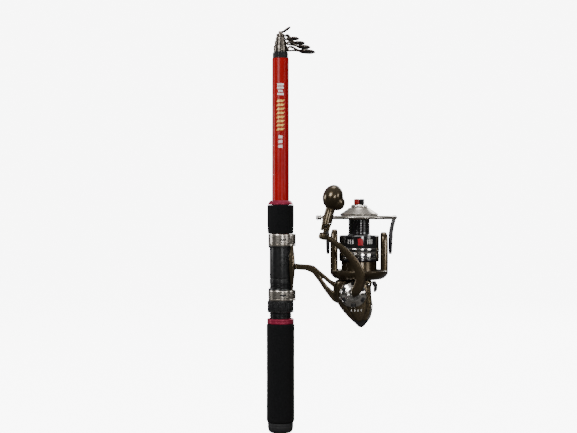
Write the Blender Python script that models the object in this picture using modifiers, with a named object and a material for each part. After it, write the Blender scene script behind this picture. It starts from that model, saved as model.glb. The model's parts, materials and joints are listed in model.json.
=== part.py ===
"""Telescopic spinning rod with a spinning reel clamped in its reel seat.

Frame: the rod's axis is Z with the butt cap's end at z = 0. The reel hangs off +X and its crank is on -Y.
Shape functions take millimetres; the meshes are made in metres.
"""

import math

import bmesh
import bpy
from mathutils import Matrix, Vector

MM = 0.001
GAP = 0.3  # clearance kept between neighbouring pieces
SIDES = 24  # sides of a turned piece

# ---- rod: heights along Z and radii ----
GRIP_R = 14.9
CAP_TOP = 11.0
REAR_GRIP_TOP = 116.0
REAR_TRIM_TOP = 121.6
SEAT_R, SEAT_TOP = 11.7, 212.0
NUT_BOTTOM, NUT_TOP = 128.5, 140.6
LOWER_HOOD_BOTTOM, LOWER_HOOD_TOP = 140.9, 152.0
UPPER_HOOD_BOTTOM, UPPER_HOOD_TOP = 199.0, 212.0
FOREGRIP_TOP = 243.0
FORE_TRIM_TOP = 247.7
BLANK_R, BLANK_BORE, BLANK_TOP = 9.3, 7.2, 399.3
BAND_R, BAND_TOP = 8.5, 406.0
SLEEVE_BORE = BLANK_R + GAP  # everything pushed over the blank
HOOD_BORE = SEAT_R + 0.35

# ---- telescoping sections, outermost first: outer radius, bore, bottom, top ----
SECTIONS = [
    (2, 6.6, 6.0, 30.0, 413.0),
    (3, 5.5, 4.9, 33.0, 418.0),
    (4, 4.5, 4.0, 36.0, 422.0),
    (5, 3.6, 3.0, 39.0, 425.6),
]
FERRULE_WALL = 0.6
# line guides: ring centre's distance from the axis, its height, outer radius
GUIDES = [(28.0, 407.0, 9.0), (24.5, 412.0, 7.3), (20.0, 416.3, 6.0), (15.0, 421.0, 5.0)]
GUIDE_TILT = math.radians(4.0)
GUIDE_WIRE = 0.7
TIP_R, TIP_BOTTOM, TIP_TOP = 2.3, 42.0, 428.5

# ---- reel ----
FOOT_LOW, FOOT_HIGH = 146.2, 210.6
SPOOL_X = 84.0
CRANK_X, CRANK_Z = 76.5, 148.9
BODY_HALF = 12.0
HOUSING_TOP = 162.7
TAIL_TOP = 120.6
COVER_FRONT = -16.0
ROTOR_BOTTOM = 163.3
PIVOT_Z = 209.5
WIRE_Z = 229.5
BAIL_R = 38.5
BAIL_WIRE = 1.6
SPOOL_R = 21.2
ARBOR_R = 11.5
HINGE_Y = -31.0
ARM_Y = -50.0
ARM_HINGE = Vector((0.891, 0.0, 0.454)).normalized()
KNOB_AXIS = Vector((0.25, 0.0, 0.968)).normalized()
KNOB_HINGE = Vector((0.968, 0.0, -0.25)).normalized()
ARM_END = Vector((44.5, ARM_Y, 211.9))
KNUCKLE = 7.0  # from the arm's end to the knob's folding pin
BALL_CENTRE = 39.6  # from the arm's end to the ball's centre
BALL_R, BALL_TALL = 11.0, 12.8

COLOURS = {
    "red_lacquer": ((0.62, 0.01, 0.02), 0.25, 0.1),
    "red_trim": ((0.45, 0.02, 0.08), 0.4, 0.2),
    "foam": ((0.012, 0.012, 0.012), 0.9, 0.0),
    "black_rubber": ((0.02, 0.02, 0.02), 0.6, 0.0),
    "black_plastic": ((0.02, 0.022, 0.02), 0.35, 0.0),
    "nickel": ((0.62, 0.59, 0.54), 0.3, 1.0),
    "chrome": ((0.85, 0.84, 0.82), 0.12, 1.0),
    "carbon": ((0.03, 0.03, 0.03), 0.4, 0.0),
    "bronze_paint": ((0.10, 0.075, 0.045), 0.35, 0.5),
    "black_gloss": ((0.01, 0.01, 0.01), 0.12, 0.0),
    "steel": ((0.5, 0.5, 0.5), 0.3, 1.0),
    "brass": ((0.6, 0.45, 0.2), 0.3, 1.0),
    "ceramic": ((0.03, 0.03, 0.03), 0.2, 0.0),
    "red_knob": ((0.5, 0.02, 0.02), 0.3, 0.0),
    "felt": ((0.2, 0.17, 0.12), 0.9, 0.0),
}


def clear_scene():
    for obj in list(bpy.data.objects):
        bpy.data.objects.remove(obj)


def collection(name):
    made = bpy.data.collections.new(name)
    bpy.context.scene.collection.children.link(made)
    return made


clear_scene()
PARTS = collection("fishing_rod_and_reel")
CUTTERS = collection("cutters")  # each cutter is removed once it has been used


def material(name):
    found = bpy.data.materials.get(name)
    if found:
        return found
    rgb, roughness, metallic = COLOURS[name]
    made = bpy.data.materials.new(name)
    made.use_nodes = True
    shader = made.node_tree.nodes["Principled BSDF"]
    shader.inputs["Base Color"].default_value = (*rgb, 1.0)
    shader.inputs["Roughness"].default_value = roughness
    shader.inputs["Metallic"].default_value = metallic
    return made


def add(name, data, look=None):
    """A linked object; look names its material, and an object without one is a cutter."""
    obj = bpy.data.objects.new(name, data)
    if look:
        PARTS.objects.link(obj)
        data.materials.append(material(look))
    else:
        CUTTERS.objects.link(obj)
        obj.hide_render = True
        obj.display_type = "WIRE"
    return obj


def freeze(obj):
    """Turns obj, with its modifiers and placing, into a plain mesh object of the same name."""
    bpy.context.view_layer.update()
    graph = bpy.context.evaluated_depsgraph_get()
    mesh = bpy.data.meshes.new_from_object(obj.evaluated_get(graph))
    mesh.transform(obj.matrix_world)
    bm = bmesh.new()
    bm.from_mesh(mesh)
    bmesh.ops.remove_doubles(bm, verts=bm.verts, dist=0.001 * MM)
    bmesh.ops.recalc_face_normals(bm, faces=bm.faces)
    bm.to_mesh(mesh)
    bm.free()
    name, home, hidden, shown_as = obj.name, obj.users_collection[0], obj.hide_render, obj.display_type
    bpy.data.objects.remove(obj)
    mesh.name = name
    made = bpy.data.objects.new(name, mesh)
    home.objects.link(made)
    made.hide_render, made.display_type = hidden, shown_as
    return made


def smooth(obj, angle=35.0):
    obj.data.shade_smooth()
    obj.data.set_sharp_from_angle(angle=math.radians(angle))
    return obj


def boolean(obj, others, operation):
    """Cuts or joins others into obj and removes them."""
    for other in others:
        modifier = obj.modifiers.new(operation, "BOOLEAN")
        modifier.operation = operation
        modifier.object = other
    obj = freeze(obj)
    for other in others:
        bpy.data.objects.remove(other)
    return obj


def cut(obj, *cutters):
    return boolean(obj, cutters, "DIFFERENCE")


def join(obj, *others):
    return boolean(obj, others, "UNION")


def turned(name, profile, look, at=(0, 0, 0), along=(0, 0, 1), sides=SIDES):
    """A closed (radius, height) profile, outer side first from top to bottom, turned round an axis."""
    bm = bmesh.new()
    verts = [bm.verts.new((r * MM, 0, z * MM)) for r, z in profile]
    for a, b in zip(verts, verts[1:]):
        bm.edges.new((a, b))
    if profile[0][0] > 0:
        bm.edges.new((verts[-1], verts[0]))
    mesh = bpy.data.meshes.new(name)
    bm.to_mesh(mesh)
    bm.free()
    obj = add(name, mesh, look)
    screw = obj.modifiers.new("turn", "SCREW")
    screw.angle = math.tau
    screw.steps = screw.render_steps = sides
    screw.use_merge_vertices = True
    screw.merge_threshold = 0.00001
    turn = Vector(along).to_track_quat("Z", "Y").to_matrix().to_4x4()
    obj.matrix_world = Matrix.Translation(Vector(at) * MM) @ turn
    return smooth(freeze(obj))


def ring(name, outer, inner, bottom, top, look, bevel=0.0, **place):
    """A plain tube between two heights, with its outer edges taken off by bevel."""
    b = bevel
    profile = [
        (outer - b, top),
        (outer, top - b),
        (outer, bottom + b),
        (outer - b, bottom),
        (inner, bottom),
        (inner, top),
    ]
    if not b:
        profile = [(outer, top), (outer, bottom), (inner, bottom), (inner, top)]
    return turned(name, profile, look, **place)


def disc(name, radius, bottom, top, look, **place):
    return turned(name, [(0, top), (radius, top), (radius, bottom), (0, bottom)], look, **place)


def box(name, low, high, look, bevel=0.0):
    mesh = bpy.data.meshes.new(name)
    bm = bmesh.new()
    bmesh.ops.create_cube(bm, size=1.0)
    size = [(h - l) * MM for l, h in zip(low, high)]
    centre = [(h + l) / 2 * MM for l, h in zip(low, high)]
    bmesh.ops.scale(bm, vec=size, verts=bm.verts)
    bmesh.ops.translate(bm, vec=centre, verts=bm.verts)
    bm.to_mesh(mesh)
    bm.free()
    obj = add(name, mesh, look)
    if bevel:
        modifier = obj.modifiers.new("edges", "BEVEL")
        modifier.width = bevel * MM
        modifier.segments = 1
        obj = freeze(obj)
    return smooth(obj)


def plate(name, outlines, front, back, look, rounding=0.0, smooth_line=True):
    """Outlines of (x, z) points filled and extruded from y = front to y = back; later outlines are holes."""
    curve = bpy.data.curves.new(name, "CURVE")
    curve.dimensions = "2D"
    curve.fill_mode = "BOTH"
    curve.extrude = (back - front) / 2 * MM - rounding * MM
    curve.bevel_depth = rounding * MM
    curve.offset = -rounding * MM
    curve.bevel_resolution = 1
    curve.resolution_u = 3
    for outline in outlines:
        kind = "BEZIER" if smooth_line else "POLY"
        spline = curve.splines.new(kind)
        points = spline.bezier_points if smooth_line else spline.points
        points.add(len(outline) - 1)
        for point, (x, z) in zip(points, outline):
            if smooth_line:
                point.co = (x * MM, z * MM, 0)
                point.handle_left_type = point.handle_right_type = "AUTO"
            else:
                point.co = (x * MM, z * MM, 0, 1)
        spline.use_cyclic_u = True
    obj = add(name, curve, look)
    # the curve is drawn in its own XY plane and stood up in XZ, so its +Z points at -Y
    stand = Matrix.Rotation(math.radians(90), 4, "X")
    obj.matrix_world = Matrix.Translation((0, (front + back) / 2 * MM, 0)) @ stand
    return smooth(freeze(obj))


def wire(name, points, radius, look, resolution=2, closed=False):
    """A round bar along points."""
    curve = bpy.data.curves.new(name, "CURVE")
    curve.dimensions = "3D"
    curve.bevel_depth = radius * MM
    curve.bevel_resolution = resolution
    curve.use_fill_caps = True
    spline = curve.splines.new("POLY")
    spline.points.add(len(points) - 1)
    for point, co in zip(spline.points, points):
        point.co = (*(Vector(co) * MM), 1)
    spline.use_cyclic_u = closed
    return smooth(freeze(add(name, curve, look)))


def loft(name, sections, look, corners=12, squareness=3.0):
    """A closed bar through rounded rectangles, each (centre, axis a, half a, axis b, half b)."""
    bm = bmesh.new()
    loops = []
    for centre, axis_a, half_a, axis_b, half_b in sections:
        loop = []
        for k in range(corners):
            angle = math.tau * (k + 0.5) / corners
            c, s = math.cos(angle), math.sin(angle)
            u = math.copysign(abs(c) ** (2 / squareness), c) * half_a
            v = math.copysign(abs(s) ** (2 / squareness), s) * half_b
            loop.append(bm.verts.new((Vector(centre) + Vector(axis_a) * u + Vector(axis_b) * v) * MM))
        loops.append(loop)
    for a, b in zip(loops, loops[1:]):
        for k in range(corners):
            bm.faces.new((a[k], a[(k + 1) % corners], b[(k + 1) % corners], b[k]))
    bm.faces.new(list(reversed(loops[0])))
    bm.faces.new(loops[-1])
    bmesh.ops.recalc_face_normals(bm, faces=bm.faces)
    mesh = bpy.data.meshes.new(name)
    bm.to_mesh(mesh)
    bm.free()
    return smooth(add(name, mesh, look))


X, Y, Z = Vector((1, 0, 0)), Vector((0, 1, 0)), Vector((0, 0, 1))


# ------------------------------------------------------------------ rod handle
def rod_handle():
    cap = [
        (0, CAP_TOP), (13.6, CAP_TOP), (13.8, 9.0), (13.4, 4.0), (12.4, 1.4), (10.4, 0.2), (8.0, 0.0),
        (0, 0.0),
    ]
    turned("butt_cap", cap, "black_rubber")
    low, top = CAP_TOP + GAP, REAR_GRIP_TOP
    grip = [
        (GRIP_R - 0.8, top), (GRIP_R, top - 1.0), (GRIP_R, low + 1.6), (GRIP_R - 1.0, low),
        (SLEEVE_BORE, low), (SLEEVE_BORE, top),
    ]
    turned("rear_grip", grip, "foam")
    low, top = REAR_GRIP_TOP + GAP, REAR_TRIM_TOP
    ring("rear_trim_ring", 14.4, SLEEVE_BORE, low, top, "red_trim", bevel=0.6)
    ring("seat_tube", SEAT_R, SLEEVE_BORE, REAR_TRIM_TOP + GAP, SEAT_TOP, "black_plastic")
    low, top = SEAT_TOP + GAP, FOREGRIP_TOP
    fore = [
        (12.6, top), (14.0, top - 2.4), (14.2, low + 8.0), (13.6, low), (SLEEVE_BORE, low),
        (SLEEVE_BORE, top),
    ]
    turned("foregrip", fore, "foam")
    low, top = FOREGRIP_TOP + GAP, FORE_TRIM_TOP
    trim = [(10.6, top), (12.2, top - 1.6), (13.6, low), (SLEEVE_BORE, low), (SLEEVE_BORE, top)]
    turned("fore_trim_ring", trim, "red_trim")


def hood(name, bottom, top, pocket_bottom, pocket_top):
    """A sleeve on the seat with a raised pocket at +X that takes one end of the reel foot."""
    sleeve = disc(name, 13.1, bottom, top, "nickel")
    bulge = disc("bulge", 8.8, bottom, top, "nickel", at=(7.4, 0, 0), sides=24)
    bore = disc("bore", HOOD_BORE, bottom - 5, top + 5, None, sides=28)
    pocket = disc("pocket", 7.8, pocket_bottom, pocket_top, None, at=(7.4, 0, 0), sides=20)
    return smooth(cut(join(sleeve, bulge), bore, pocket))


def reel_seat():
    hood("upper_hood", UPPER_HOOD_BOTTOM, UPPER_HOOD_TOP, UPPER_HOOD_BOTTOM - 4, FOOT_HIGH + GAP)
    hood("lower_hood", LOWER_HOOD_BOTTOM, LOWER_HOOD_TOP, LOWER_HOOD_BOTTOM + 2.0, LOWER_HOOD_TOP + 4)
    nut = ring("lock_nut", 14.0, HOOD_BORE, NUT_BOTTOM, NUT_TOP, "black_plastic", bevel=1.0)
    grooves = []
    for k in range(12):
        angle = math.tau * k / 12
        at = (15.2 * math.cos(angle), 15.2 * math.sin(angle), 0)
        grooves.append(disc(f"groove_{k}", 1.8, NUT_BOTTOM + 2.0, NUT_TOP + 2.0, None, at=at, sides=6))
    smooth(cut(nut, *grooves))


# ------------------------------------------------------------------ telescoping rod
def guide(number, radius, below, top, centre_x, centre_z, outer):
    """Wire legs and hoop of one section's line guide, and the lined ring held in the hoop."""
    tilt = Matrix.Rotation(GUIDE_TILT, 4, "Y")
    centre = Vector((centre_x, 0, centre_z))
    hoop_r = outer - GUIDE_WIRE
    hoop = []
    for degrees in range(-150, 151, 30):
        angle = math.radians(degrees)
        hoop.append(centre + tilt @ Vector((hoop_r * math.cos(angle), hoop_r * math.sin(angle), 0)))
    root_x = radius + GAP + FERRULE_WALL + GUIDE_WIRE + GAP
    legs = [(root_x, -1.2, below + 1.1), (root_x, -1.4, top - 1.6), (root_x + 1.6, -1.8, top - 0.9)]
    legs = [Vector(p) for p in legs]
    other = [Vector((p.x, -p.y, p.z)) for p in reversed(legs)]
    wire(f"guide_{number}_frame", legs + hoop + other, GUIDE_WIRE, "nickel", resolution=0)
    edge = outer - 2 * GUIDE_WIRE - 0.35
    inner = edge - 1.2
    liner = [(edge, 0.7), (edge, -0.7), (inner, -0.7), (inner, 0.7)]
    turned(f"guide_{number}_ring", liner, "ceramic", at=centre, along=tilt @ Z, sides=14)


def rod_tubes():
    low = CAP_TOP + GAP
    blank = [(9.0, BLANK_TOP), (BLANK_R, low), (BLANK_BORE, low), (BLANK_BORE, BLANK_TOP)]
    turned("butt_blank", blank, "red_lacquer")
    ring("blank_end_band", BAND_R, 6.9, BLANK_TOP + GAP, BAND_TOP, "black_gloss", bevel=0.4)
    below = BAND_TOP
    for (number, radius, bore, bottom, top), (centre_x, centre_z, outer) in zip(SECTIONS, GUIDES):
        ring(f"section_{number}", radius, bore, bottom, top, "carbon", sides=18)
        inner = radius + GAP
        outside = inner + FERRULE_WALL
        ring(f"ferrule_{number}", outside, inner, below + GAP, top, "nickel", bevel=0.2, sides=18)
        guide(number, radius, below, top, centre_x, centre_z, outer)
        below = top
    tip = [(0, TIP_TOP), (1.3, TIP_TOP), (1.5, TIP_TOP - 2.4), (TIP_R, TIP_BOTTOM), (0, TIP_BOTTOM)]
    turned("tip_section", tip, "carbon", sides=12)
    centre = Vector((6.4, 0, 430.4))
    slope = Vector((0.82, 0, 0.57)).normalized()
    hoop = []
    for degrees in range(-150, 151, 30):
        angle = math.radians(degrees)
        hoop.append(centre + slope * (4.3 * math.cos(angle)) + Y * (4.3 * math.sin(angle)))
    legs = [Vector((2.5, -1.0, TIP_TOP - 1.6)), Vector((2.6, -1.2, TIP_TOP - 0.5))]
    other = [Vector((p.x, -p.y, p.z)) for p in reversed(legs)]
    wire("tip_top_frame", legs + hoop + other, 0.6, "nickel", resolution=0)
    liner = [(3.4, 0.6), (3.4, -0.6), (2.3, -0.6), (2.3, 0.6)]
    turned("tip_top_ring", liner, "ceramic", at=centre, along=slope.cross(Y), sides=12)


# ------------------------------------------------------------------ reel body: outlines are (x, z)
BODY_OUTLINE = [
    (60.5, 165.0), (74.0, 165.4), (96.7, 165.0), (96.3, 155.5), (96.7, 145.3),
    (97.6, 136.3),
    (95.2, 124.0), (91.3, 117.4), (85.5, 112.9), (79.2, 117.2), (70.0, 126.0), (62.5, 135.5), (58.4, 144.0),
    (57.9, 152.0), (58.4, 159.0),
]
CAVITY_OUTLINE = [
    (63.0, 159.3), (74.0, 159.5), (92.4, 159.3), (92.4, 150.0), (93.2, 137.0), (91.0, 127.0), (87.0, 124.4),
    (80.0, 124.6), (73.0, 130.0), (66.0, 138.0), (62.0, 146.0), (61.6, 153.0),
]
COVER_OUTLINE = [
    (64.3, 149.8), (65.2, 158.0), (70.4, 161.5), (79.0, 161.9), (88.0, 161.3), (92.4, 153.0), (91.7, 138.6),
    (88.0, 124.0), (83.4, 119.4), (76.5, 126.0), (68.8, 138.6),
]
MOUTH_OUTLINE = [
    (65.9, 150.0), (67.8, 156.4), (72.0, 158.2), (79.0, 158.7), (86.4, 157.8), (90.0, 152.0), (89.2, 139.0),
    (86.2, 128.0), (83.6, 126.2), (78.6, 130.0), (70.2, 140.4),
]
STEM_OUTLINE = [
    (12.5, 181.6), (16.2, 180.2), (31.9, 179.0), (36.4, 177.7), (45.4, 170.0), (54.4, 162.4), (60.0, 160.0),
    (66.0, 158.0), (66.0, 140.0), (59.8, 138.1), (55.8, 140.4), (47.7, 150.7), (40.9, 161.0), (34.2, 170.0),
    (27.4, 173.2), (16.2, 174.0), (12.5, 172.4),
]
WINDOW_OUTLINE = [(42.7, 167.2), (50.0, 161.2), (56.4, 155.4), (56.6, 150.0), (50.4, 156.0), (45.4, 162.6)]


def reel_frame():
    """Foot, stem and gear housing cast in one, with the chamber that the gears sit in."""
    housing = plate("reel_frame", [BODY_OUTLINE], -BODY_HALF, BODY_HALF, "bronze_paint", rounding=3.0)
    stem = [STEM_OUTLINE, WINDOW_OUTLINE]
    stem = plate("stem", stem, -4.0, 4.0, "bronze_paint", rounding=1.2, smooth_line=False)
    middle, half = (FOOT_LOW + FOOT_HIGH) / 2, (FOOT_HIGH - FOOT_LOW) / 2
    sections = []
    ends = [(0.62, 4.6, 13.7), (0.94, 4.3, 13.5), (1.0, 3.5, 13.3)]
    blade = [(-s, w, t) for s, w, t in reversed(ends)]
    blade += [(-0.35, 7.3, 15.1), (0.0, 8.0, 15.9), (0.35, 7.3, 15.1)] + ends
    for s, width, top in blade:
        low = 8.0
        centre = Vector(((top + low) / 2, 0, middle + s * half))
        sections.append((centre, X, (top - low) / 2, Y, width))
    foot = loft("foot", sections, "bronze_paint", corners=16, squareness=5.0)
    whole = join(housing, stem, foot)
    saddle = disc("saddle", HOOD_BORE, FOOT_LOW - 8, FOOT_HIGH + 8, None)
    cavity = plate("cavity", [CAVITY_OUTLINE], -9.0, 9.0, None)
    mouth = plate("mouth", [MOUTH_OUTLINE], -20.0, -8.0, None)
    nose = disc("nose", 6.2, 150.0, 170.0, None, at=(SPOOL_X, 0, 0), sides=18)
    bearing_hole = disc("bearing_hole", 3.2, -20, 0, None, at=(CRANK_X, 0, CRANK_Z), along=-Y, sides=14)
    tail = box("tail", (50, -30, 90), (120, 30, TAIL_TOP + GAP), None)
    lid = box("lid", (57.5, -30, HOUSING_TOP), (120, 30, 180), None)
    smooth(cut(whole, lid, saddle, cavity, mouth, nose, bearing_hole, tail))
    cap = plate("tail_cap", [BODY_OUTLINE], -BODY_HALF, BODY_HALF, "black_plastic", rounding=3.0)
    rest = box("rest", (50, -30, TAIL_TOP), (120, 30, 190), None)
    smooth(cut(cap, rest))


def side_cover():
    cover = plate("side_cover", [COVER_OUTLINE], COVER_FRONT, -BODY_HALF - GAP, "bronze_paint", rounding=1.2)
    hole = disc("hole", 5.9, 0, 40, None, at=(CRANK_X, 0, CRANK_Z), along=-Y, sides=20)
    smooth(cut(cover, hole))
    for k, (x, z) in enumerate([(63.4, 144.0), (93.0, 158.4)], start=1):
        head = [(0, 1.5), (1.0, 1.4), (1.6, 0.8), (1.6, 0), (0, 0)]
        screw = turned(f"cover_screw_{k}", head, "chrome", at=(x, -BODY_HALF - GAP, z), along=-Y, sides=12)
        low, high = (x - 0.25, -BODY_HALF - 4, z - 2.0), (x + 0.25, -BODY_HALF - 1.2, z + 2.0)
        smooth(cut(screw, box(f"drive_{k}", low, high, None)))


def inner_works():
    """Drive gear on its shaft, bearings, pinion, main shaft with its slider, and the anti-reverse lever."""
    at = (CRANK_X, 0, CRANK_Z)
    shaft = disc("drive_gear", 2.8, -11.6, 23.0, "steel", at=at, along=-Y, sides=14)
    wheel = disc("wheel", 10.5, 4.3, 7.2, "brass", at=at, along=-Y, sides=28)
    smooth(join(shaft, wheel))
    ring("drive_bearing", 5.5, 3.1, 12.6, 15.6, "steel", at=at, along=-Y, sides=18)
    ring("pinion_bearing", 5.9, 3.4, 159.0, 162.4, "steel", at=(SPOOL_X, 0, 0), sides=18)
    ring("pinion_gear", 3.1, 1.9, 153.0, 187.0, "brass", at=(SPOOL_X, 0, 0), sides=14)
    shaft = disc("main_shaft", 1.5, 138.0, 239.0, "steel", at=(SPOOL_X, 0, 0), sides=12)
    slider = box("slider", (SPOOL_X - 3.4, -2.0, 138.4), (SPOOL_X + 3.4, 5.4, 142.4), "steel")
    smooth(join(shaft, slider))
    cap = [(0, 3.4), (4.4, 3.4), (5.8, 2.2), (6.2, 0), (0, 0)]
    turned("opposite_cap", cap, "chrome", at=(CRANK_X, BODY_HALF + GAP, CRANK_Z), along=Y, sides=18)
    hook = [
        (98.0, 161.4), (101.4, 161.2), (103.0, 157.6), (102.4, 152.6), (100.2, 150.4), (100.4, 155.4),
        (98.6, 158.4),
    ]
    plate("anti_reverse_lever", [hook], -2.4, 2.4, "black_plastic", rounding=0.5, smooth_line=False)


def drive_boss():
    """Bright bearing cap that turns with the crank, with windows round its rim."""
    rim = [(7.0, 9.6), (8.2, 9.0), (12.6, 6.4), (14.0, 4.4), (14.0, 0.6), (13.4, 0.0), (3.1, 0.0), (3.1, 9.6)]
    boss = turned("drive_boss", rim, "chrome", at=(CRANK_X, COVER_FRONT - GAP, CRANK_Z), along=-Y)
    windows = []
    for k in range(6):
        angle = math.tau * (k + 0.5) / 6
        at = Vector((CRANK_X + 11.4 * math.cos(angle), COVER_FRONT - 8.4, CRANK_Z + 11.4 * math.sin(angle)))
        window = box(f"window_{k}", (-2.0, -2.6, -2.6), (2.0, 2.6, 2.6), None)
        window.matrix_world = Matrix.Translation(at * MM) @ Matrix.Rotation(-angle, 4, "Y")
        windows.append(window)
    smooth(cut(boss, *windows))


# ------------------------------------------------------------------ crank
def crank():
    hub = Vector((CRANK_X, 0, CRANK_Z))
    up = ARM_HINGE.cross(Y) * -1
    neck = disc("crank_knuckle", 4.4, 26.3, 29.0, "chrome", at=hub, along=-Y, sides=14)
    sections = []
    for y, half_side, half_up in ((-26.8, 6.4, 4.4), (-27.8, 7.0, 4.8), (-33.0, 7.0, 4.6), (-34.6, 6.2, 3.6)):
        sections.append((hub + Y * y, ARM_HINGE, half_side, up, half_up))
    block = loft("block", sections, "chrome", corners=16, squareness=6.0)
    knuckle = join(neck, block)
    slot = box("slot", (-2.8, -42.0, -12.0), (2.8, -27.6, 12.0), None)
    lean = -math.atan2(ARM_HINGE.z, ARM_HINGE.x)
    slot.matrix_world = Matrix.Translation(hub * MM) @ Matrix.Rotation(lean, 4, "Y")
    hinge = hub + Y * HINGE_Y
    pin = disc("pin", 1.4, -6.0, 6.0, "steel", at=hinge, along=ARM_HINGE, sides=10)
    smooth(join(cut(knuckle, slot), pin))
    path = [
        (76.5, -28.6, 148.9, 2.4, 2.4), (76.5, -32.0, 148.9, 2.4, 2.7), (76.5, -37.0, 149.2, 2.4, 2.6),
        (78.4, -39.4, 153.8, 4.2, 2.2), (82.4, -40.2, 161.0, 5.2, 2.2), (82.8, -40.8, 168.0, 5.2, 2.2),
        (80.5, -41.6, 175.9, 5.0, 2.2), (76.8, -42.6, 183.6, 4.7, 2.2), (71.4, -43.8, 191.2, 4.3, 2.2),
        (64.4, -45.6, 198.2, 3.8, 2.2), (55.4, -47.8, 204.6, 3.2, 2.2), (47.6, -49.6, 209.4, 2.7, 2.2),
    ]
    points = [Vector(row[:3]) for row in path]
    sections = []
    for k, (x, y, z, half_wide, half_thick) in enumerate(path):
        ahead = (points[min(k + 1, len(points) - 1)] - points[max(k - 1, 0)]).normalized()
        wide = ARM_HINGE if k < 3 else Vector((ahead.z, 0, -ahead.x)).normalized()
        thick = ahead.cross(wide).normalized()
        sections.append((points[k], wide, half_wide, thick, half_thick))
    blade = loft("crank_arm", sections, "bronze_paint", corners=12, squareness=3.2)
    post = [(0, 2.0), (3.0, 2.0), (4.2, 0.6), (4.2, -3.2), (2.8, -4.8), (0, -5.2)]
    socket = turned("socket", post, "bronze_paint", at=ARM_END, along=KNOB_AXIS, sides=14)
    turn = knob_frame()
    tongue = box("tongue", (-1.3, -2.4, -3.0), (1.3, 2.4, KNUCKLE), "bronze_paint")
    tongue.matrix_world = turn
    pivot = ARM_END + KNOB_AXIS * KNUCKLE
    eye = disc("eye", 2.4, -1.3, 1.3, "bronze_paint", at=pivot, along=KNOB_HINGE, sides=12)
    arm = join(blade, socket, tongue, eye)
    bore = disc("bore", 1.7, -8, 8, None, at=hinge, along=ARM_HINGE, sides=10)
    eye_bore = disc("eye_bore", 1.2, -8, 8, None, at=pivot, along=KNOB_HINGE, sides=10)
    smooth(cut(arm, bore, eye_bore))


def knob_frame():
    """Frame at the arm's end: X along the folding pin, Y towards +Y, Z along the knob."""
    rows = Matrix((KNOB_HINGE, Y, KNOB_AXIS)).transposed().to_4x4()
    return Matrix.Translation(ARM_END * MM) @ rows


def knob():
    """Fork and spindle that fold on the arm's end, and the knob that turns on the spindle."""
    turn = knob_frame()
    fork = box("knob_spindle", (-4.0, -2.9, KNUCKLE - 2.8), (4.0, 2.9, KNUCKLE + 4.4), "steel")
    fork.matrix_world = turn
    collar = disc("collar", 4.4, KNUCKLE + 3.6, KNUCKLE + 5.4, "steel", at=ARM_END, along=KNOB_AXIS, sides=14)
    spindle = disc("spindle", 1.8, KNUCKLE + 4.0, 34.0, "steel", at=ARM_END, along=KNOB_AXIS, sides=10)
    slot = box("fork_slot", (-1.6, -9.0, -9.0), (1.6, 9.0, KNUCKLE + 2.9), None)
    slot.matrix_world = turn
    fork = cut(join(fork, collar, spindle), slot)
    pivot = ARM_END + KNOB_AXIS * KNUCKLE
    pin = disc("pin", 0.9, -3.0, 3.0, "steel", at=pivot, along=KNOB_HINGE, sides=10)
    smooth(join(fork, pin))
    c, low = BALL_CENTRE, KNUCKLE + 5.7
    profile = [(0, c + BALL_TALL)]
    for degrees in (75, 58, 40, 20, 0, -20, -38, -54):
        angle = math.radians(degrees)
        profile.append((BALL_R * math.cos(angle), c + BALL_TALL * math.sin(angle)))
    profile += [(5.4, c - 13.4), (4.8, c - 17.0), (4.6, low), (2.1, low), (2.1, 34.4), (0, 34.4)]
    turned("handle_knob", profile, "bronze_paint", at=ARM_END, along=KNOB_AXIS, sides=20)


# ------------------------------------------------------------------ rotor and bail
def rotor():
    low = ROTOR_BOTTOM
    cup = [
        (30.8, 172.6), (30.8, 169.4), (29.4, 166.0), (25.6, low), (3.4, low), (3.4, 183.0), (5.6, 183.0),
        (5.6, 171.0), (16.2, 171.0), (16.2, 183.0), (18.2, 183.0), (18.9, 182.2), (18.9, 168.0),
        (22.2, 168.0), (22.2, 173.0), (29.8, 173.6),
    ]
    bowl = turned("rotor", cup, "bronze_paint", at=(SPOOL_X, 0, 0))
    arms = []
    for side, drop in ((-1, 0.0), (1, 3.0)):
        shape = [
            (169.0, 26.7, 8.2, 3.9), (190.0, 26.8, 8.2, 4.0), (204.0, 26.8, 7.8, 4.0),
            (211.0 - drop / 2, 26.7, 7.2, 3.9),
            (215.0 - drop, 26.4, 5.8, 3.4), (217.0 - drop, 26.2, 3.2, 2.4),
        ]
        sections = [(Vector((SPOOL_X + side * r, 0, z)), X, t, Y, w) for z, r, w, t in shape]
        arms.append(loft(f"arm_{side}", sections, "bronze_paint", corners=16, squareness=4.0))
    whole = join(bowl, *arms)
    holes = []
    for side in (-1, 1):
        at = (SPOOL_X + side * 30.0, 0, PIVOT_Z)
        holes.append(disc(f"pivot_hole_{side}", 1.8, -4.4, 6, None, at=at, along=X * side, sides=10))
    smooth(cut(whole, *holes))
    ring("rotor_nut", 5.4, 4.0, 183.3, 186.0, "steel", at=(SPOOL_X, 0, 0), sides=6)


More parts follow.
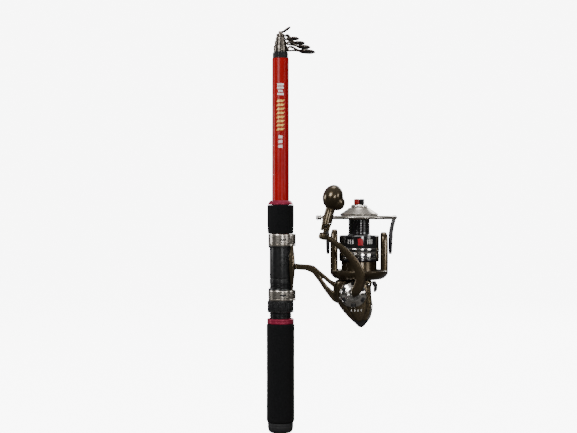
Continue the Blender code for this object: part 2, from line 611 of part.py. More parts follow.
def bail():
    """Two levers outside the rotor's arms, the wire between them and the line roller."""
    for side, name in ((-1, "bail_lever_roller_side"), (1, "bail_lever_far_side")):
        shape = [
            (190.5, 33.2, 3.4, 1.1), (194.0, 33.3, 5.4, 1.6), (203.0, 33.3, 6.4, 1.7),
            (211.0, 33.4, 6.0, 1.7),
            (219.0, 34.6, 4.2, 1.8), (226.0, 37.0, 3.0, 1.8), (231.8, 38.2, 2.6, 1.7),
        ]
        sections = [(Vector((SPOOL_X + side * r, 0, z)), X, t, Y, w) for z, r, w, t in shape]
        lever = loft(name, sections, "black_plastic", corners=12, squareness=3.4)
        at = (SPOOL_X + side * 33.3, 0, PIVOT_Z)
        pin = disc("pin", 1.5, -1.0, 6.4, "steel", at=at, along=X * -side, sides=10)
        if side < 0:
            at = (SPOOL_X - 38.4, 0, WIRE_Z)
            stud = disc("stud", 1.2, 0.0, 7.6, "steel", at=at, along=-X, sides=10)
            head = disc("head", 2.4, 6.7, 7.8, "steel", at=at, along=-X, sides=10)
            lever = join(lever, stud, head)
        smooth(join(lever, pin))
    points = [(SPOOL_X - BAIL_R, -3.5, WIRE_Z)]
    count = 18
    for k in range(1, count):
        angle = math.pi * k / count
        points.append((SPOOL_X - BAIL_R * math.cos(angle), -BAIL_R * math.sin(angle), WIRE_Z))
    points.append((SPOOL_X + BAIL_R, -3.5, WIRE_Z))
    wire("bail_wire", points, BAIL_WIRE, "chrome", resolution=1)
    groove = [(3.1, 2.1), (3.1, 1.6), (2.3, 0.5), (2.3, -0.5), (3.1, -1.6), (3.1, -2.1)]
    groove += [(1.6, -2.1), (1.6, 2.1)]
    turned("line_roller", groove, "chrome", at=(SPOOL_X - 42.6, 0, WIRE_Z), along=X, sides=12)


# ------------------------------------------------------------------ spool and drag
def spool():
    r = SPOOL_R
    shell = [
        (ARBOR_R, 228.6), (ARBOR_R, 212.0), (12.5, 210.8), (r - 0.8, 210.6), (r, 209.8), (r, 197.1),
        (20.2, 197.1),
        (20.2, 185.4), (r, 185.4), (r, 183.4), (r - 0.6, 182.8), (19.4, 182.8), (19.4, 207.0), (1.9, 207.0),
        (1.9, 222.5), (9.0, 222.5), (9.0, 228.6),
    ]
    turned("spool", shell, "black_gloss", at=(SPOOL_X, 0, 0))
    lip = [
        (10.2, 240.0), (11.2, 239.8), (20.0, 233.5), (20.5, 232.6), (20.1, 231.8), (12.2, 228.9),
        (9.4, 228.9),
        (9.4, 239.4),
    ]
    turned("spool_lip", lip, "chrome", at=(SPOOL_X, 0, 0))
    band = [
        (21.4, 196.8), (21.4, 192.2), (20.9, 191.7), (21.4, 191.2), (21.4, 185.8), (20.5, 185.8),
        (20.5, 196.8),
    ]
    sleeve = turned("spool_band", band, "chrome", at=(SPOOL_X, 0, 0))
    slots = []
    for k in range(6):
        turn = Matrix.Rotation(math.tau * (k + 0.25) / 6, 4, "Z")
        slot = box(f"slot_{k}", (19.0, -3.4, 187.4), (23.0, 3.4, 189.6), None)
        slot.matrix_world = Matrix.Translation((SPOOL_X * MM, 0, 0)) @ turn
        slots.append(slot)
    smooth(cut(sleeve, *slots))
    ring("drag_washer", 8.6, 1.9, 222.8, 224.8, "felt", at=(SPOOL_X, 0, 0), sides=18)


def drag_knob():
    base = [
        (0, 243.4), (7.6, 243.2), (9.0, 242.0), (9.0, 240.5), (8.6, 240.2), (8.6, 225.1), (1.9, 225.1),
        (1.9, 239.4),
        (0, 239.4),
    ]
    turned("drag_knob", base, "chrome", at=(SPOOL_X, 0, 0), sides=20)
    low, high = 243.7, 249.3
    mid = GAP / 2
    box("drag_grip_red", (SPOOL_X - 5.2, -7, low), (SPOOL_X - mid, 7, high), "red_knob", bevel=0.8)
    box("drag_grip_grey", (SPOOL_X + mid, -7, low), (SPOOL_X + 5.2, 7, high), "black_gloss", bevel=0.8)


# ------------------------------------------------------------------ origins of the moving pieces
CRANK_HUB = (CRANK_X, 0, CRANK_Z)
SPOOL_LINE = (SPOOL_X, 0, PIVOT_Z)
KNOB_PIVOT = ARM_END + KNOB_AXIS * KNUCKLE
JOINT_POINTS = {
    "lock_nut": (0, 0, 134.5), "lower_hood": (0, 0, 146.5),
    "drive_gear": CRANK_HUB, "drive_boss": CRANK_HUB, "crank_knuckle": CRANK_HUB,
    "crank_arm": (CRANK_X, HINGE_Y, CRANK_Z), "knob_spindle": KNOB_PIVOT, "handle_knob": KNOB_PIVOT,
    "rotor": SPOOL_LINE, "rotor_nut": SPOOL_LINE, "pinion_gear": SPOOL_LINE,
    "bail_lever_roller_side": SPOOL_LINE, "bail_lever_far_side": SPOOL_LINE, "bail_wire": SPOOL_LINE,
    "line_roller": (SPOOL_X - 42.6, 0, WIRE_Z), "anti_reverse_lever": (98.8, 0, 160.8),
    "main_shaft": SPOOL_LINE, "spool": SPOOL_LINE, "spool_lip": SPOOL_LINE, "spool_band": SPOOL_LINE,
    "drag_washer": SPOOL_LINE, "drag_knob": SPOOL_LINE, "drag_grip_red": SPOOL_LINE,
    "drag_grip_grey": SPOOL_LINE,
}


def place_origins():
    """Puts each moving piece's origin on its joint's axis without moving the piece."""
    for name, point in JOINT_POINTS.items():
        obj = PARTS.objects[name]
        spot = Vector(point) * MM
        obj.data.transform(obj.matrix_world)
        obj.data.transform(Matrix.Translation(-spot))
        obj.matrix_world = Matrix.Translation(spot)


rod_handle()
reel_seat()
rod_tubes()
reel_frame()
side_cover()
inner_works()
drive_boss()
crank()
knob()
rotor()
bail()
spool()
drag_knob()
place_origins()
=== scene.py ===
"""Looks for the telescopic rod and its spinning reel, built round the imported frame.

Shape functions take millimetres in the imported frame, and the meshes they make are in metres.
"""

import json
import math

import bmesh
import bpy
from mathutils import Matrix, Vector


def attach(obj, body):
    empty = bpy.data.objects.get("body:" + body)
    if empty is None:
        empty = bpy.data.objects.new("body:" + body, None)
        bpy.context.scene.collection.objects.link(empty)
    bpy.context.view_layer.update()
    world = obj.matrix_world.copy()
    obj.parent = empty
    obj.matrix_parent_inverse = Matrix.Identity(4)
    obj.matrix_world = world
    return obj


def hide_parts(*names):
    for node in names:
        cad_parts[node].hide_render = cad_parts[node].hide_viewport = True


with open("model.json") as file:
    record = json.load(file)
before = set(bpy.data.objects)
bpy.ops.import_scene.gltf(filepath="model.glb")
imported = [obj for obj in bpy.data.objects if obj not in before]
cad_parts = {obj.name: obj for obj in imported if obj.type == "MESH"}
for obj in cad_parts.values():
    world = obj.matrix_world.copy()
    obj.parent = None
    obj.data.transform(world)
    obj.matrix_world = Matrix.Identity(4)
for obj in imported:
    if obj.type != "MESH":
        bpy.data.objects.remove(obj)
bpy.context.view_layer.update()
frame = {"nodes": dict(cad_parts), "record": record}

MM = 0.001
ON_AXIS = 0.005  # nearer points of a turned profile count as on its axis
WELD = 0.001  # points nearer to each other than this become one
X, Y, Z = Vector((1, 0, 0)), Vector((0, 1, 0)), Vector((0, 0, 1))
ROOT = "rod_and_reel_frame"

# ------------------------------------------------------------------ measures shared with the model
GRIP_R, SEAT_R, SLEEVE_BORE = 14.9, 11.7, 9.6
HOOD_R, HOOD_BORE = 13.1, 12.05
BLANK_R, BLANK_TIP_R, BLANK_BORE = 9.3, 9.0, 7.2
BLANK_LOW, BLANK_TOP, BAND_TOP = 11.3, 399.3, 406.0
# number, radius, bore, bottom and top of each sliding tube
SECTIONS = [
    (2, 6.6, 6.0, 30.0, 413.0),
    (3, 5.5, 4.9, 33.0, 418.0),
    (4, 4.5, 4.0, 36.0, 422.0),
    (5, 3.6, 3.0, 39.0, 425.6),
]
# x, z and outer radius of each line guide's ring
GUIDES = [(28.0, 407.0, 9.0), (24.5, 412.0, 7.3), (20.0, 416.3, 6.0), (15.0, 421.0, 5.0)]
GUIDE_TILT = math.radians(4.0)
TIP_TOP = 428.5
SPOOL_X, SPOOL_R, CRANK_X, CRANK_Z = 84.0, 21.2, 76.5, 148.9
PIVOT_Z, WIRE_Z, BAIL_R = 209.5, 229.5, 38.5
HOUSING_Y, HOUSING_ROUND = 12.0, 3.4
COVER_BACK, COVER_FRONT, HINGE_Y = -12.3, -16.0, -31.0
ARM_HINGE = Vector((0.891, 0.0, 0.454)).normalized()
KNOB_AXIS = Vector((0.25, 0.0, 0.968)).normalized()
KNOB_HINGE = Vector((0.968, 0.0, -0.25)).normalized()
ARM_END = Vector((44.5, -50.0, 211.9))
# from ARM_END along the knob's axis: the folding pin, then the ball's centre, radius and half height
KNUCKLE, BALL_CENTRE, BALL_R, BALL_TALL = 7.0, 39.6, 11.0, 12.8


# ------------------------------------------------------------------ materials
LOOKS = {}


def surface(name, dark, light, rough, metal=0.0, grain=160.0, fine=2200.0, bump=0.1, depth=0.05,
            wear=0.08, stretch=(1, 1, 1), coat=0.0, cells=False, gloss=0.5):
    """Adds a look: mottled between dark and light, rough give or take wear, with a fine relief.

    grain and fine are the scales of the mottle and of the relief, and depth is the relief's height in
    millimetres. With cells, the relief is that of a foam.
    """
    made = bpy.data.materials.new(name)
    made.use_nodes = True
    tree = made.node_tree
    shader = tree.nodes["Principled BSDF"]
    place = tree.nodes.new("ShaderNodeTexCoord")
    scale = tree.nodes.new("ShaderNodeMapping")
    scale.inputs["Scale"].default_value = stretch
    tree.links.new(place.outputs["Object"], scale.inputs["Vector"])
    mottle = tree.nodes.new("ShaderNodeTexNoise")
    mottle.inputs["Scale"].default_value = grain
    mottle.inputs["Detail"].default_value = 6.0
    tree.links.new(scale.outputs["Vector"], mottle.inputs["Vector"])
    ramp = tree.nodes.new("ShaderNodeValToRGB")
    for stop, position, colour in zip(ramp.color_ramp.elements, (0.32, 0.68), (dark, light)):
        stop.position = position
        stop.color = (*colour, 1)
    tree.links.new(mottle.outputs["Fac"], ramp.inputs["Fac"])
    tree.links.new(ramp.outputs["Color"], shader.inputs["Base Color"])
    spread = tree.nodes.new("ShaderNodeMapRange")
    spread.inputs["To Min"].default_value = max(0.02, rough - wear)
    spread.inputs["To Max"].default_value = rough + wear
    tree.links.new(mottle.outputs["Fac"], spread.inputs["Value"])
    tree.links.new(spread.outputs["Result"], shader.inputs["Roughness"])
    if cells:
        relief = tree.nodes.new("ShaderNodeTexVoronoi")
        out = relief.outputs["Distance"]
    else:
        relief = tree.nodes.new("ShaderNodeTexNoise")
        relief.inputs["Detail"].default_value = 3.0
        out = relief.outputs["Fac"]
    relief.inputs["Scale"].default_value = fine
    tree.links.new(scale.outputs["Vector"], relief.inputs["Vector"])
    raised = tree.nodes.new("ShaderNodeBump")
    raised.inputs["Strength"].default_value = bump
    raised.inputs["Distance"].default_value = depth * MM
    tree.links.new(out, raised.inputs["Height"])
    tree.links.new(raised.outputs["Normal"], shader.inputs["Normal"])
    shader.inputs["Metallic"].default_value = metal
    shader.inputs["Coat Weight"].default_value = coat
    shader.inputs["Coat Roughness"].default_value = 0.14
    shader.inputs["Specular IOR Level"].default_value = gloss
    LOOKS[name] = made


surface("red_lacquer", (0.25, 0.0004, 0.0008), (0.32, 0.0008, 0.0012), 0.32, grain=60, fine=900,
        bump=0.015, wear=0.05, gloss=0.14)
surface("red_trim", (0.20, 0.008, 0.03), (0.30, 0.014, 0.05), 0.34, metal=0.45, stretch=(1, 1, 14),
        grain=120)
surface("foam", (0.0025, 0.0025, 0.0028), (0.0085, 0.0085, 0.009), 0.92, grain=900, fine=2600, bump=0.5,
        depth=0.2, cells=True, gloss=0.12)
surface("black_rubber", (0.008, 0.008, 0.009), (0.02, 0.02, 0.021), 0.62, grain=500, bump=0.2, gloss=0.25)
surface("black_plastic", (0.0035, 0.0035, 0.004), (0.009, 0.009, 0.0095), 0.3, grain=260, bump=0.04,
        gloss=0.35)
surface("nickel", (0.30, 0.27, 0.235), (0.50, 0.46, 0.41), 0.27, metal=1.0, stretch=(1, 1, 26), grain=90,
        bump=0.02, wear=0.03)
surface("chrome", (0.50, 0.475, 0.44), (0.74, 0.715, 0.67), 0.13, metal=1.0, grain=220, bump=0.008,
        wear=0.03)
surface("carbon", (0.012, 0.011, 0.011), (0.034, 0.03, 0.028), 0.32, coat=0.4, stretch=(1, 1, 0.2),
        grain=700, bump=0.15)
surface("bronze_paint", (0.046, 0.033, 0.0165), (0.078, 0.057, 0.030), 0.25, metal=0.85, grain=900,
        fine=900, bump=0.02, coat=0.35, wear=0.05)
surface("black_gloss", (0.004, 0.004, 0.005), (0.011, 0.01, 0.01), 0.13, coat=0.5, grain=200, bump=0.01,
        wear=0.03)
surface("steel", (0.34, 0.34, 0.34), (0.55, 0.55, 0.54), 0.28, metal=1.0, grain=300, bump=0.03)
surface("brass", (0.5, 0.33, 0.12), (0.66, 0.47, 0.2), 0.3, metal=1.0, grain=300)
surface("ceramic", (0.010, 0.009, 0.009), (0.026, 0.024, 0.022), 0.18, grain=400, bump=0.04, coat=0.4)
surface("red_knob", (0.20, 0.002, 0.002), (0.28, 0.004, 0.004), 0.26, grain=200, coat=0.25, gloss=0.2)
surface("felt", (0.12, 0.1, 0.07), (0.24, 0.2, 0.14), 0.9, grain=900, bump=0.5, depth=0.2)
surface("gunmetal", (0.07, 0.06, 0.05), (0.16, 0.14, 0.12), 0.26, metal=1.0, grain=300, bump=0.02,
        wear=0.04)
surface("mark_white", (0.62, 0.61, 0.58), (0.84, 0.83, 0.8), 0.4, grain=500)
surface("mark_gold", (0.50, 0.27, 0.045), (0.70, 0.42, 0.10), 0.34, metal=0.3, grain=400)
surface("mark_red", (0.26, 0.006, 0.012), (0.36, 0.01, 0.018), 0.34, grain=400, gloss=0.2)
surface("floor", (0.86, 0.86, 0.86), (0.9, 0.9, 0.9), 0.8, grain=3, fine=40, bump=0.02)


# ------------------------------------------------------------------ building
def paint(data, material):
    """Makes material the only one of that mesh or curve."""
    data.materials.clear()
    data.materials.append(material)


def new_object(name, data):
    obj = bpy.data.objects.new(name, data)
    bpy.context.scene.collection.objects.link(obj)
    return obj


def add(name, data, look):
    """A new object with that look, or without one where it is only a cutter."""
    obj = new_object(name, data)
    if look:
        paint(data, LOOKS[look])
    return obj


def smooth(obj, angle=38.0):
    obj.data.shade_smooth()
    obj.data.set_sharp_from_angle(angle=math.radians(angle))
    return obj


def freeze(obj):
    """Turns obj, with its modifiers and placing, into a plain mesh object of the same name."""
    bpy.context.view_layer.update()
    graph = bpy.context.evaluated_depsgraph_get()
    mesh = bpy.data.meshes.new_from_object(obj.evaluated_get(graph))
    mesh.transform(obj.matrix_world)
    bm = bmesh.new()
    bm.from_mesh(mesh)
    bmesh.ops.remove_doubles(bm, verts=bm.verts, dist=WELD * MM)
    bmesh.ops.recalc_face_normals(bm, faces=bm.faces)
    bm.to_mesh(mesh)
    bm.free()
    name = obj.name
    bpy.data.objects.remove(obj)
    return new_object(name, mesh)


def to_mesh(bm, name):
    """A new mesh from bm, which is freed."""
    mesh = bpy.data.meshes.new(name)
    bm.to_mesh(mesh)
    bm.free()
    return mesh


def skin(bm, loops, around=True):
    """Faces from each loop of points to the next. With around, each loop closes on itself."""
    for a, b in zip(loops, loops[1:]):
        for k in range(len(a) if around else len(a) - 1):
            n = (k + 1) % len(a)
            bm.faces.new((a[k], a[n], b[n], b[k]))


def boolean(obj, others, operation):
    for other in others:
        modifier = obj.modifiers.new(operation, "BOOLEAN")
        modifier.operation = operation
        modifier.object = other
    obj = freeze(obj)
    for other in others:
        bpy.data.objects.remove(other)
    return obj


def cut(obj, *cutters):
    return boolean(obj, cutters, "DIFFERENCE")


def join(obj, *others):
    return boolean(obj, others, "UNION")


def turn_to(along):
    return Vector(along).to_track_quat("Z", "Y").to_matrix().to_4x4()


def soften(profile, radius):
    """The profile with each corner rounded to radius, or to what its sides leave room for.

    Points on the axis, ends of very short sides, and corners that are nearly straight or very sharp
    stay as they are.
    """
    short, sharp, straight, share, count = 0.02, 0.3, 2.9, 0.45, 4
    out = []
    for k, point in enumerate(profile):
        here = Vector(point)
        before = Vector(profile[k - 1]) - here
        after = Vector(profile[(k + 1) % len(profile)]) - here
        fixed = here.x < ON_AXIS or min(before.length, after.length) < short
        turn = 0.0 if fixed else before.angle(after)
        if turn < sharp or turn > straight:
            out.append(tuple(here))
            continue
        reach = min(radius / math.tan(turn / 2), before.length * share, after.length * share)
        a, b = here + before.normalized() * reach, here + after.normalized() * reach
        for j in range(count + 1):
            t = j / count
            out.append(tuple(a * (1 - t) ** 2 + here * 2 * t * (1 - t) + b * t * t))
    return out


def turned(name, profile, look, at=(0, 0, 0), along=(0, 0, 1), sides=72, radius=0.25, wave=None):
    """A closed (radius, height) profile turned round an axis. wave(angle, r, z) may change each radius."""
    profile = soften(profile, radius)
    bm = bmesh.new()
    rings = []
    for r, z in profile:
        if r < ON_AXIS:
            rings.append([bm.verts.new((0, 0, z * MM))])
            continue
        ring = []
        for k in range(sides):
            angle = math.tau * k / sides
            rr = wave(angle, r, z) if wave else r
            ring.append(bm.verts.new((rr * MM * math.cos(angle), rr * MM * math.sin(angle), z * MM)))
        rings.append(ring)
    for a, b in zip(rings, rings[1:] + rings[:1]):
        if len(a) == 1 and len(b) == 1:
            continue
        for k in range(sides):
            n = (k + 1) % sides
            if len(a) == 1:
                bm.faces.new((a[0], b[k], b[n]))
            elif len(b) == 1:
                bm.faces.new((a[n], a[k], b[0]))
            else:
                bm.faces.new((a[k], b[k], b[n], a[n]))
    bmesh.ops.recalc_face_normals(bm, faces=bm.faces)
    mesh = to_mesh(bm, name)
    mesh.transform(Matrix.Translation(Vector(at) * MM) @ turn_to(along))
    return smooth(add(name, mesh, look))


def disc(name, radius, bottom, top, look, **more):
    return turned(name, [(0, top), (radius, top), (radius, bottom), (0, bottom)], look, **more)


def sleeve(name, outer, inner, bottom, top, look, **more):
    return turned(name, [(outer, top), (outer, bottom), (inner, bottom), (inner, top)], look, **more)


def box(name, low, high, look, bevel=0.0, turn=None):
    bm = bmesh.new()
    bmesh.ops.create_cube(bm, size=1.0)
    bmesh.ops.scale(bm, vec=[(h - l) * MM for l, h in zip(low, high)], verts=bm.verts)
    bmesh.ops.translate(bm, vec=[(h + l) / 2 * MM for l, h in zip(low, high)], verts=bm.verts)
    if bevel:
        bmesh.ops.bevel(bm, geom=bm.edges[:], offset=bevel * MM, segments=4, profile=0.6, affect="EDGES")
    if turn:
        bmesh.ops.transform(bm, matrix=turn, verts=bm.verts)
    return smooth(add(name, to_mesh(bm, name), look))


def plate(name, outlines, front, back, look, rounding, smooth_line=True):
    """Outlines of (x, z) points filled between y = front and y = back, with rounded edges."""
    curve = bpy.data.curves.new(name, "CURVE")
    curve.dimensions = "2D"
    curve.fill_mode = "BOTH"
    curve.extrude = (back - front) / 2 * MM - rounding * MM
    curve.bevel_depth = rounding * MM
    curve.offset = -rounding * MM
    curve.bevel_resolution = 4
    curve.resolution_u = 10
    for outline in outlines:
        spline = curve.splines.new("BEZIER" if smooth_line else "POLY")
        points = spline.bezier_points if smooth_line else spline.points
        points.add(len(outline) - 1)
        for point, (x, z) in zip(points, outline):
            if smooth_line:
                point.co = (x * MM, z * MM, 0)
                point.handle_left_type = point.handle_right_type = "AUTO"
            else:
                point.co = (x * MM, z * MM, 0, 1)
        spline.use_cyclic_u = True
    obj = add(name, curve, look)
    stand = Matrix.Rotation(math.pi / 2, 4, "X")
    obj.matrix_world = Matrix.Translation((0, (front + back) / 2 * MM, 0)) @ stand
    return smooth(freeze(obj))


def wire(name, points, radius, look, steps=4):
    """A round bar along a smooth line through points."""
    curve = bpy.data.curves.new(name, "CURVE")
    curve.dimensions = "3D"
    curve.bevel_depth = radius * MM
    curve.bevel_resolution = steps
    curve.resolution_u = 6
    curve.use_fill_caps = True
    spline = curve.splines.new("BEZIER")
    spline.bezier_points.add(len(points) - 1)
    for point, co in zip(spline.bezier_points, points):
        point.co = Vector(co) * MM
        point.handle_left_type = point.handle_right_type = "AUTO"
    return smooth(freeze(add(name, curve, look)), angle=60)


def loft(name, sections, look, squareness, levels):
    """A closed bar through rounded rectangles, subdivided that many levels.

    Each section is (centre, axis a, half a, axis b, half b).
    """
    corners = 16
    bm = bmesh.new()
    loops = []
    for centre, axis_a, half_a, axis_b, half_b in sections:
        loop = []
        for k in range(corners):
            angle = math.tau * (k + 0.5) / corners
            c, s = math.cos(angle), math.sin(angle)
            u = math.copysign(abs(c) ** (2 / squareness), c) * half_a
            v = math.copysign(abs(s) ** (2 / squareness), s) * half_b
            loop.append(bm.verts.new((Vector(centre) + Vector(axis_a) * u + Vector(axis_b) * v) * MM))
        loops.append(loop)
    skin(bm, loops)
    for end in (list(reversed(loops[0])), loops[-1]):
        cap = bm.faces.new(end)
        bmesh.ops.inset_region(bm, faces=[cap], thickness=0.25 * MM, depth=0.0)
    bmesh.ops.recalc_face_normals(bm, faces=bm.faces)
    obj = add(name, to_mesh(bm, name), look)
    finer = obj.modifiers.new("round", "SUBSURF")
    finer.levels = finer.render_levels = levels
    return smooth(freeze(obj), angle=50)


def cast(obj, cell, passes):
    """Melts joined shapes into one casting with soft fillets between them."""
    melt = obj.modifiers.new("cast", "REMESH")
    melt.mode = "VOXEL"
    melt.voxel_size = cell * MM
    even = obj.modifiers.new("even", "SMOOTH")
    even.factor = 0.5
    even.iterations = passes
    material = obj.data.materials[0]
    obj = freeze(obj)
    paint(obj.data, material)
    obj.data.shade_smooth()
    return obj


def done(obj, body, node):
    """obj stands for that node of the CAD, if for any, whose own mesh is hidden, and rides on body."""
    if node:
        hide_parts(node)
    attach(obj, body)
    return obj


# ------------------------------------------------------------------ rod handle
def rod_handle():
    cap = [(0, 11.0), (13.6, 11.0), (13.8, 9.0), (13.5, 7.6), (13.8, 7.0), (13.4, 4.0), (12.4, 1.4),
           (10.4, 0.2), (8.0, 0.0), (6.6, 0.6), (0, 0.6)]
    done(turned("butt_cap_look", cap, "black_rubber", radius=0.6), ROOT, "butt_cap")
    low, top = BLANK_LOW, 116.0
    grip = [(GRIP_R - 0.5, top), (GRIP_R, top - 1.2), (GRIP_R - 0.1, 64.0), (GRIP_R, low + 1.6),
            (GRIP_R - 0.8, low), (SLEEVE_BORE, low), (SLEEVE_BORE, top)]
    done(turned("rear_grip_look", grip, "foam", radius=0.8, sides=96), ROOT, "rear_grip")
    low, top = 116.3, 121.6
    trim = [(13.8, top), (14.4, top - 0.8), (14.4, low + 3.2), (14.1, low + 2.8), (14.4, low + 2.4),
            (14.4, low + 0.5), (14.0, low), (SLEEVE_BORE, low), (SLEEVE_BORE, top)]
    trim = turned("rear_trim_look", trim, "red_trim", radius=0.15, sides=96)
    done(trim, ROOT, "rear_trim_ring")
    low, top, root = 121.9, 212.0, SEAT_R - 0.55
    thread = []
    z = 160.0
    while z > 123.2:
        thread += [(SEAT_R, z), (SEAT_R, z - 0.7), (root, z - 1.0), (root, z - 1.2)]
        z -= 1.5
    groove = [(SEAT_R, 165.2), (SEAT_R - 0.3, 164.8), (SEAT_R - 0.3, 164.2), (SEAT_R, 163.8)]
    tube = [(SEAT_R - 0.3, top), (SEAT_R, 211.6), *groove, *thread, (SEAT_R - 0.5, low), (SLEEVE_BORE, low),
            (SLEEVE_BORE, top)]
    tube = turned("seat_tube_look", tube, "black_plastic", radius=0.08, sides=96)
    done(tube, ROOT, "seat_tube")
    low, top = 212.3, 243.0
    fore = [(13.8, top), (14.2, top - 1.0), (14.2, low + 10), (13.7, low + 0.8), (13.2, low),
            (SLEEVE_BORE, low), (SLEEVE_BORE, top)]
    done(turned("foregrip_look", fore, "foam", radius=0.4, sides=96), ROOT, "foregrip")
    low, top = 243.3, 247.7
    trim = [(10.6, top), (12.0, top - 1.2), (13.1, low + 1.4), (13.0, low + 1.1), (13.5, low + 0.8),
            (13.5, low), (SLEEVE_BORE, low), (SLEEVE_BORE, top)]
    trim = turned("fore_trim_look", trim, "red_trim", radius=0.15, sides=96)
    done(trim, ROOT, "fore_trim_ring")


def swell(centre, radius, least):
    """Radius of a round sleeve with a rounded swelling at +X, at an angle."""
    def at(angle):
        c, s = math.cos(angle), math.sin(angle)
        inside = radius * radius - (centre * s) ** 2
        reach = centre * c + math.sqrt(inside) if inside > 0 else 0.0
        return max(least, reach)
    return at


def hood(name, node, body, low, top, pocket_low, pocket_high, lip_low):
    """Plated hood: swollen sleeve with rolled rims, the pocket for the reel foot, and its black liner.

    lip_low puts the liner's lip at the lower rim instead of the upper one.
    """
    swell_x, sides, step = 7.4, 96, 0.01
    outer, inner = swell(swell_x, 8.8, HOOD_R), swell(swell_x, 7.8, HOOD_BORE)
    angles = [math.tau * k / sides for k in range(sides)]
    rows = []
    for inset, z in ((0.55, low), (0.2, low + 0.15), (0.0, low + 0.6), (0.0, low + 1.6), (0.35, low + 2.0),
                     (0.35, low + 2.4), (0.0, low + 2.8), (0.0, top - 1.6), (0.0, top - 0.6),
                     (0.2, top - 0.15), (0.55, top)):
        rows.append([(outer(angle) - inset, z) for angle in angles])
    roof, foot = min(top, pocket_high), max(low, pocket_low)
    for z in (top, roof - step, roof, foot + step, foot, low):
        in_pocket = pocket_low < z < pocket_high
        rows.append([(inner(angle) if in_pocket else HOOD_BORE, z) for angle in angles])
    bm = bmesh.new()
    rings = []
    for row in rows:
        ring = []
        for (r, z), angle in zip(row, angles):
            ring.append(bm.verts.new((r * MM * math.cos(angle), r * MM * math.sin(angle), z * MM)))
        rings.append(ring)
    skin(bm, rings + rings[:1])
    bmesh.ops.recalc_face_normals(bm, faces=bm.faces)
    done(smooth(add(name, to_mesh(bm, name), "nickel")), body, node)
    middle = (low + top) / 2
    # painted shade: a thin black film on the hood's front stands for the dark inside of a slot; no slot is
    # cut
    patch(name + "_slot", HOOD_R + 0.06, 0.22, 7.0, middle - 0.4, middle + 1.2, "black_plastic", body)
    edge, out = (low, -1) if lip_low else (top, 1)
    lip = [(12.1, 0.0), (12.95, 0.0), (13.0, 0.8), (12.8, 1.7), (12.1, 1.9)]
    start, span, count = 36, 288, 40  # degrees, open at +X
    bm = bmesh.new()
    loops = []
    for k in range(count + 1):
        angle = math.radians(start + span * k / count)
        c, s = math.cos(angle), math.sin(angle)
        loops.append([bm.verts.new((r * c * MM, r * s * MM, (edge + out * h) * MM)) for r, h in lip])
    skin(bm, loops)
    bm.faces.new(loops[0])
    bm.faces.new(list(reversed(loops[-1])))
    bmesh.ops.recalc_face_normals(bm, faces=bm.faces)
    liner = add(name + "_liner", to_mesh(bm, name + "_liner"), "black_plastic")
    done(smooth(liner), body, None)


def reel_seat():
    hood("upper_hood_look", "upper_hood", ROOT, 199.0, 212.0, pocket_low=190.0, pocket_high=210.9,
         lip_low=True)
    hood("lower_hood_look", "lower_hood", "hood", 140.9, 152.0, pocket_low=142.9, pocket_high=160.0,
         lip_low=False)
    low, top = 128.5, 140.6

    def ribs(angle, r, z):
        if r < 13.5 or not low + 1.4 < z < top - 1.2:
            return r
        return r - 0.55 * (0.5 - 0.5 * math.cos(angle * 30)) ** 2

    rows = [(13.4, top), (14.0, top - 0.6), (14.0, top - 1.1), (13.6, top - 1.3), (13.9, top - 1.7),
            (13.9, low + 1.9), (13.6, low + 1.5), (14.0, low + 1.1), (14.0, low + 0.5), (13.4, low),
            (HOOD_BORE, low), (HOOD_BORE, top)]
    nut = turned("lock_nut_look", rows, "black_plastic", sides=360, radius=0.12, wave=ribs)
    done(nut, "nut", "lock_nut")


# ------------------------------------------------------------------ telescoping rod
def patch(name, radius, turn, width, low, high, look, body, slant=0.0, centre=(0, 0)):
    """A thin raised mark on a round surface about a vertical line through centre.

    It is turned by turn from -Y, width millimetres across, and slant moves its top sideways.
    """
    rows_up, steps_round = 4, 6
    bm = bmesh.new()
    rows = []
    for j in range(rows_up + 1):
        t = j / rows_up
        row = []
        for k in range(steps_round + 1):
            across = (k / steps_round - 0.5) * width + slant * (t - 0.5)
            angle = -math.pi / 2 + turn + across / radius
            x, y = centre[0] + radius * math.cos(angle), centre[1] + radius * math.sin(angle)
            row.append(bm.verts.new((x * MM, y * MM, (low + (high - low) * t) * MM)))
        rows.append(row)
    skin(bm, rows, around=False)
    obj = add(name, to_mesh(bm, name), look)
    thick = obj.modifiers.new("film", "SOLIDIFY")
    thick.thickness = 0.1 * MM
    thick.offset = 0.0
    return done(smooth(freeze(obj)), body, None)


def blank_radius(z):
    return BLANK_R - (BLANK_R - BLANK_TIP_R) * (z - BLANK_LOW) / (BLANK_TOP - BLANK_LOW)


def mirrored(points):
    """The same line on the other side of the y = 0 plane, run back."""
    return [Vector((p.x, -p.y, p.z)) for p in reversed(points)]


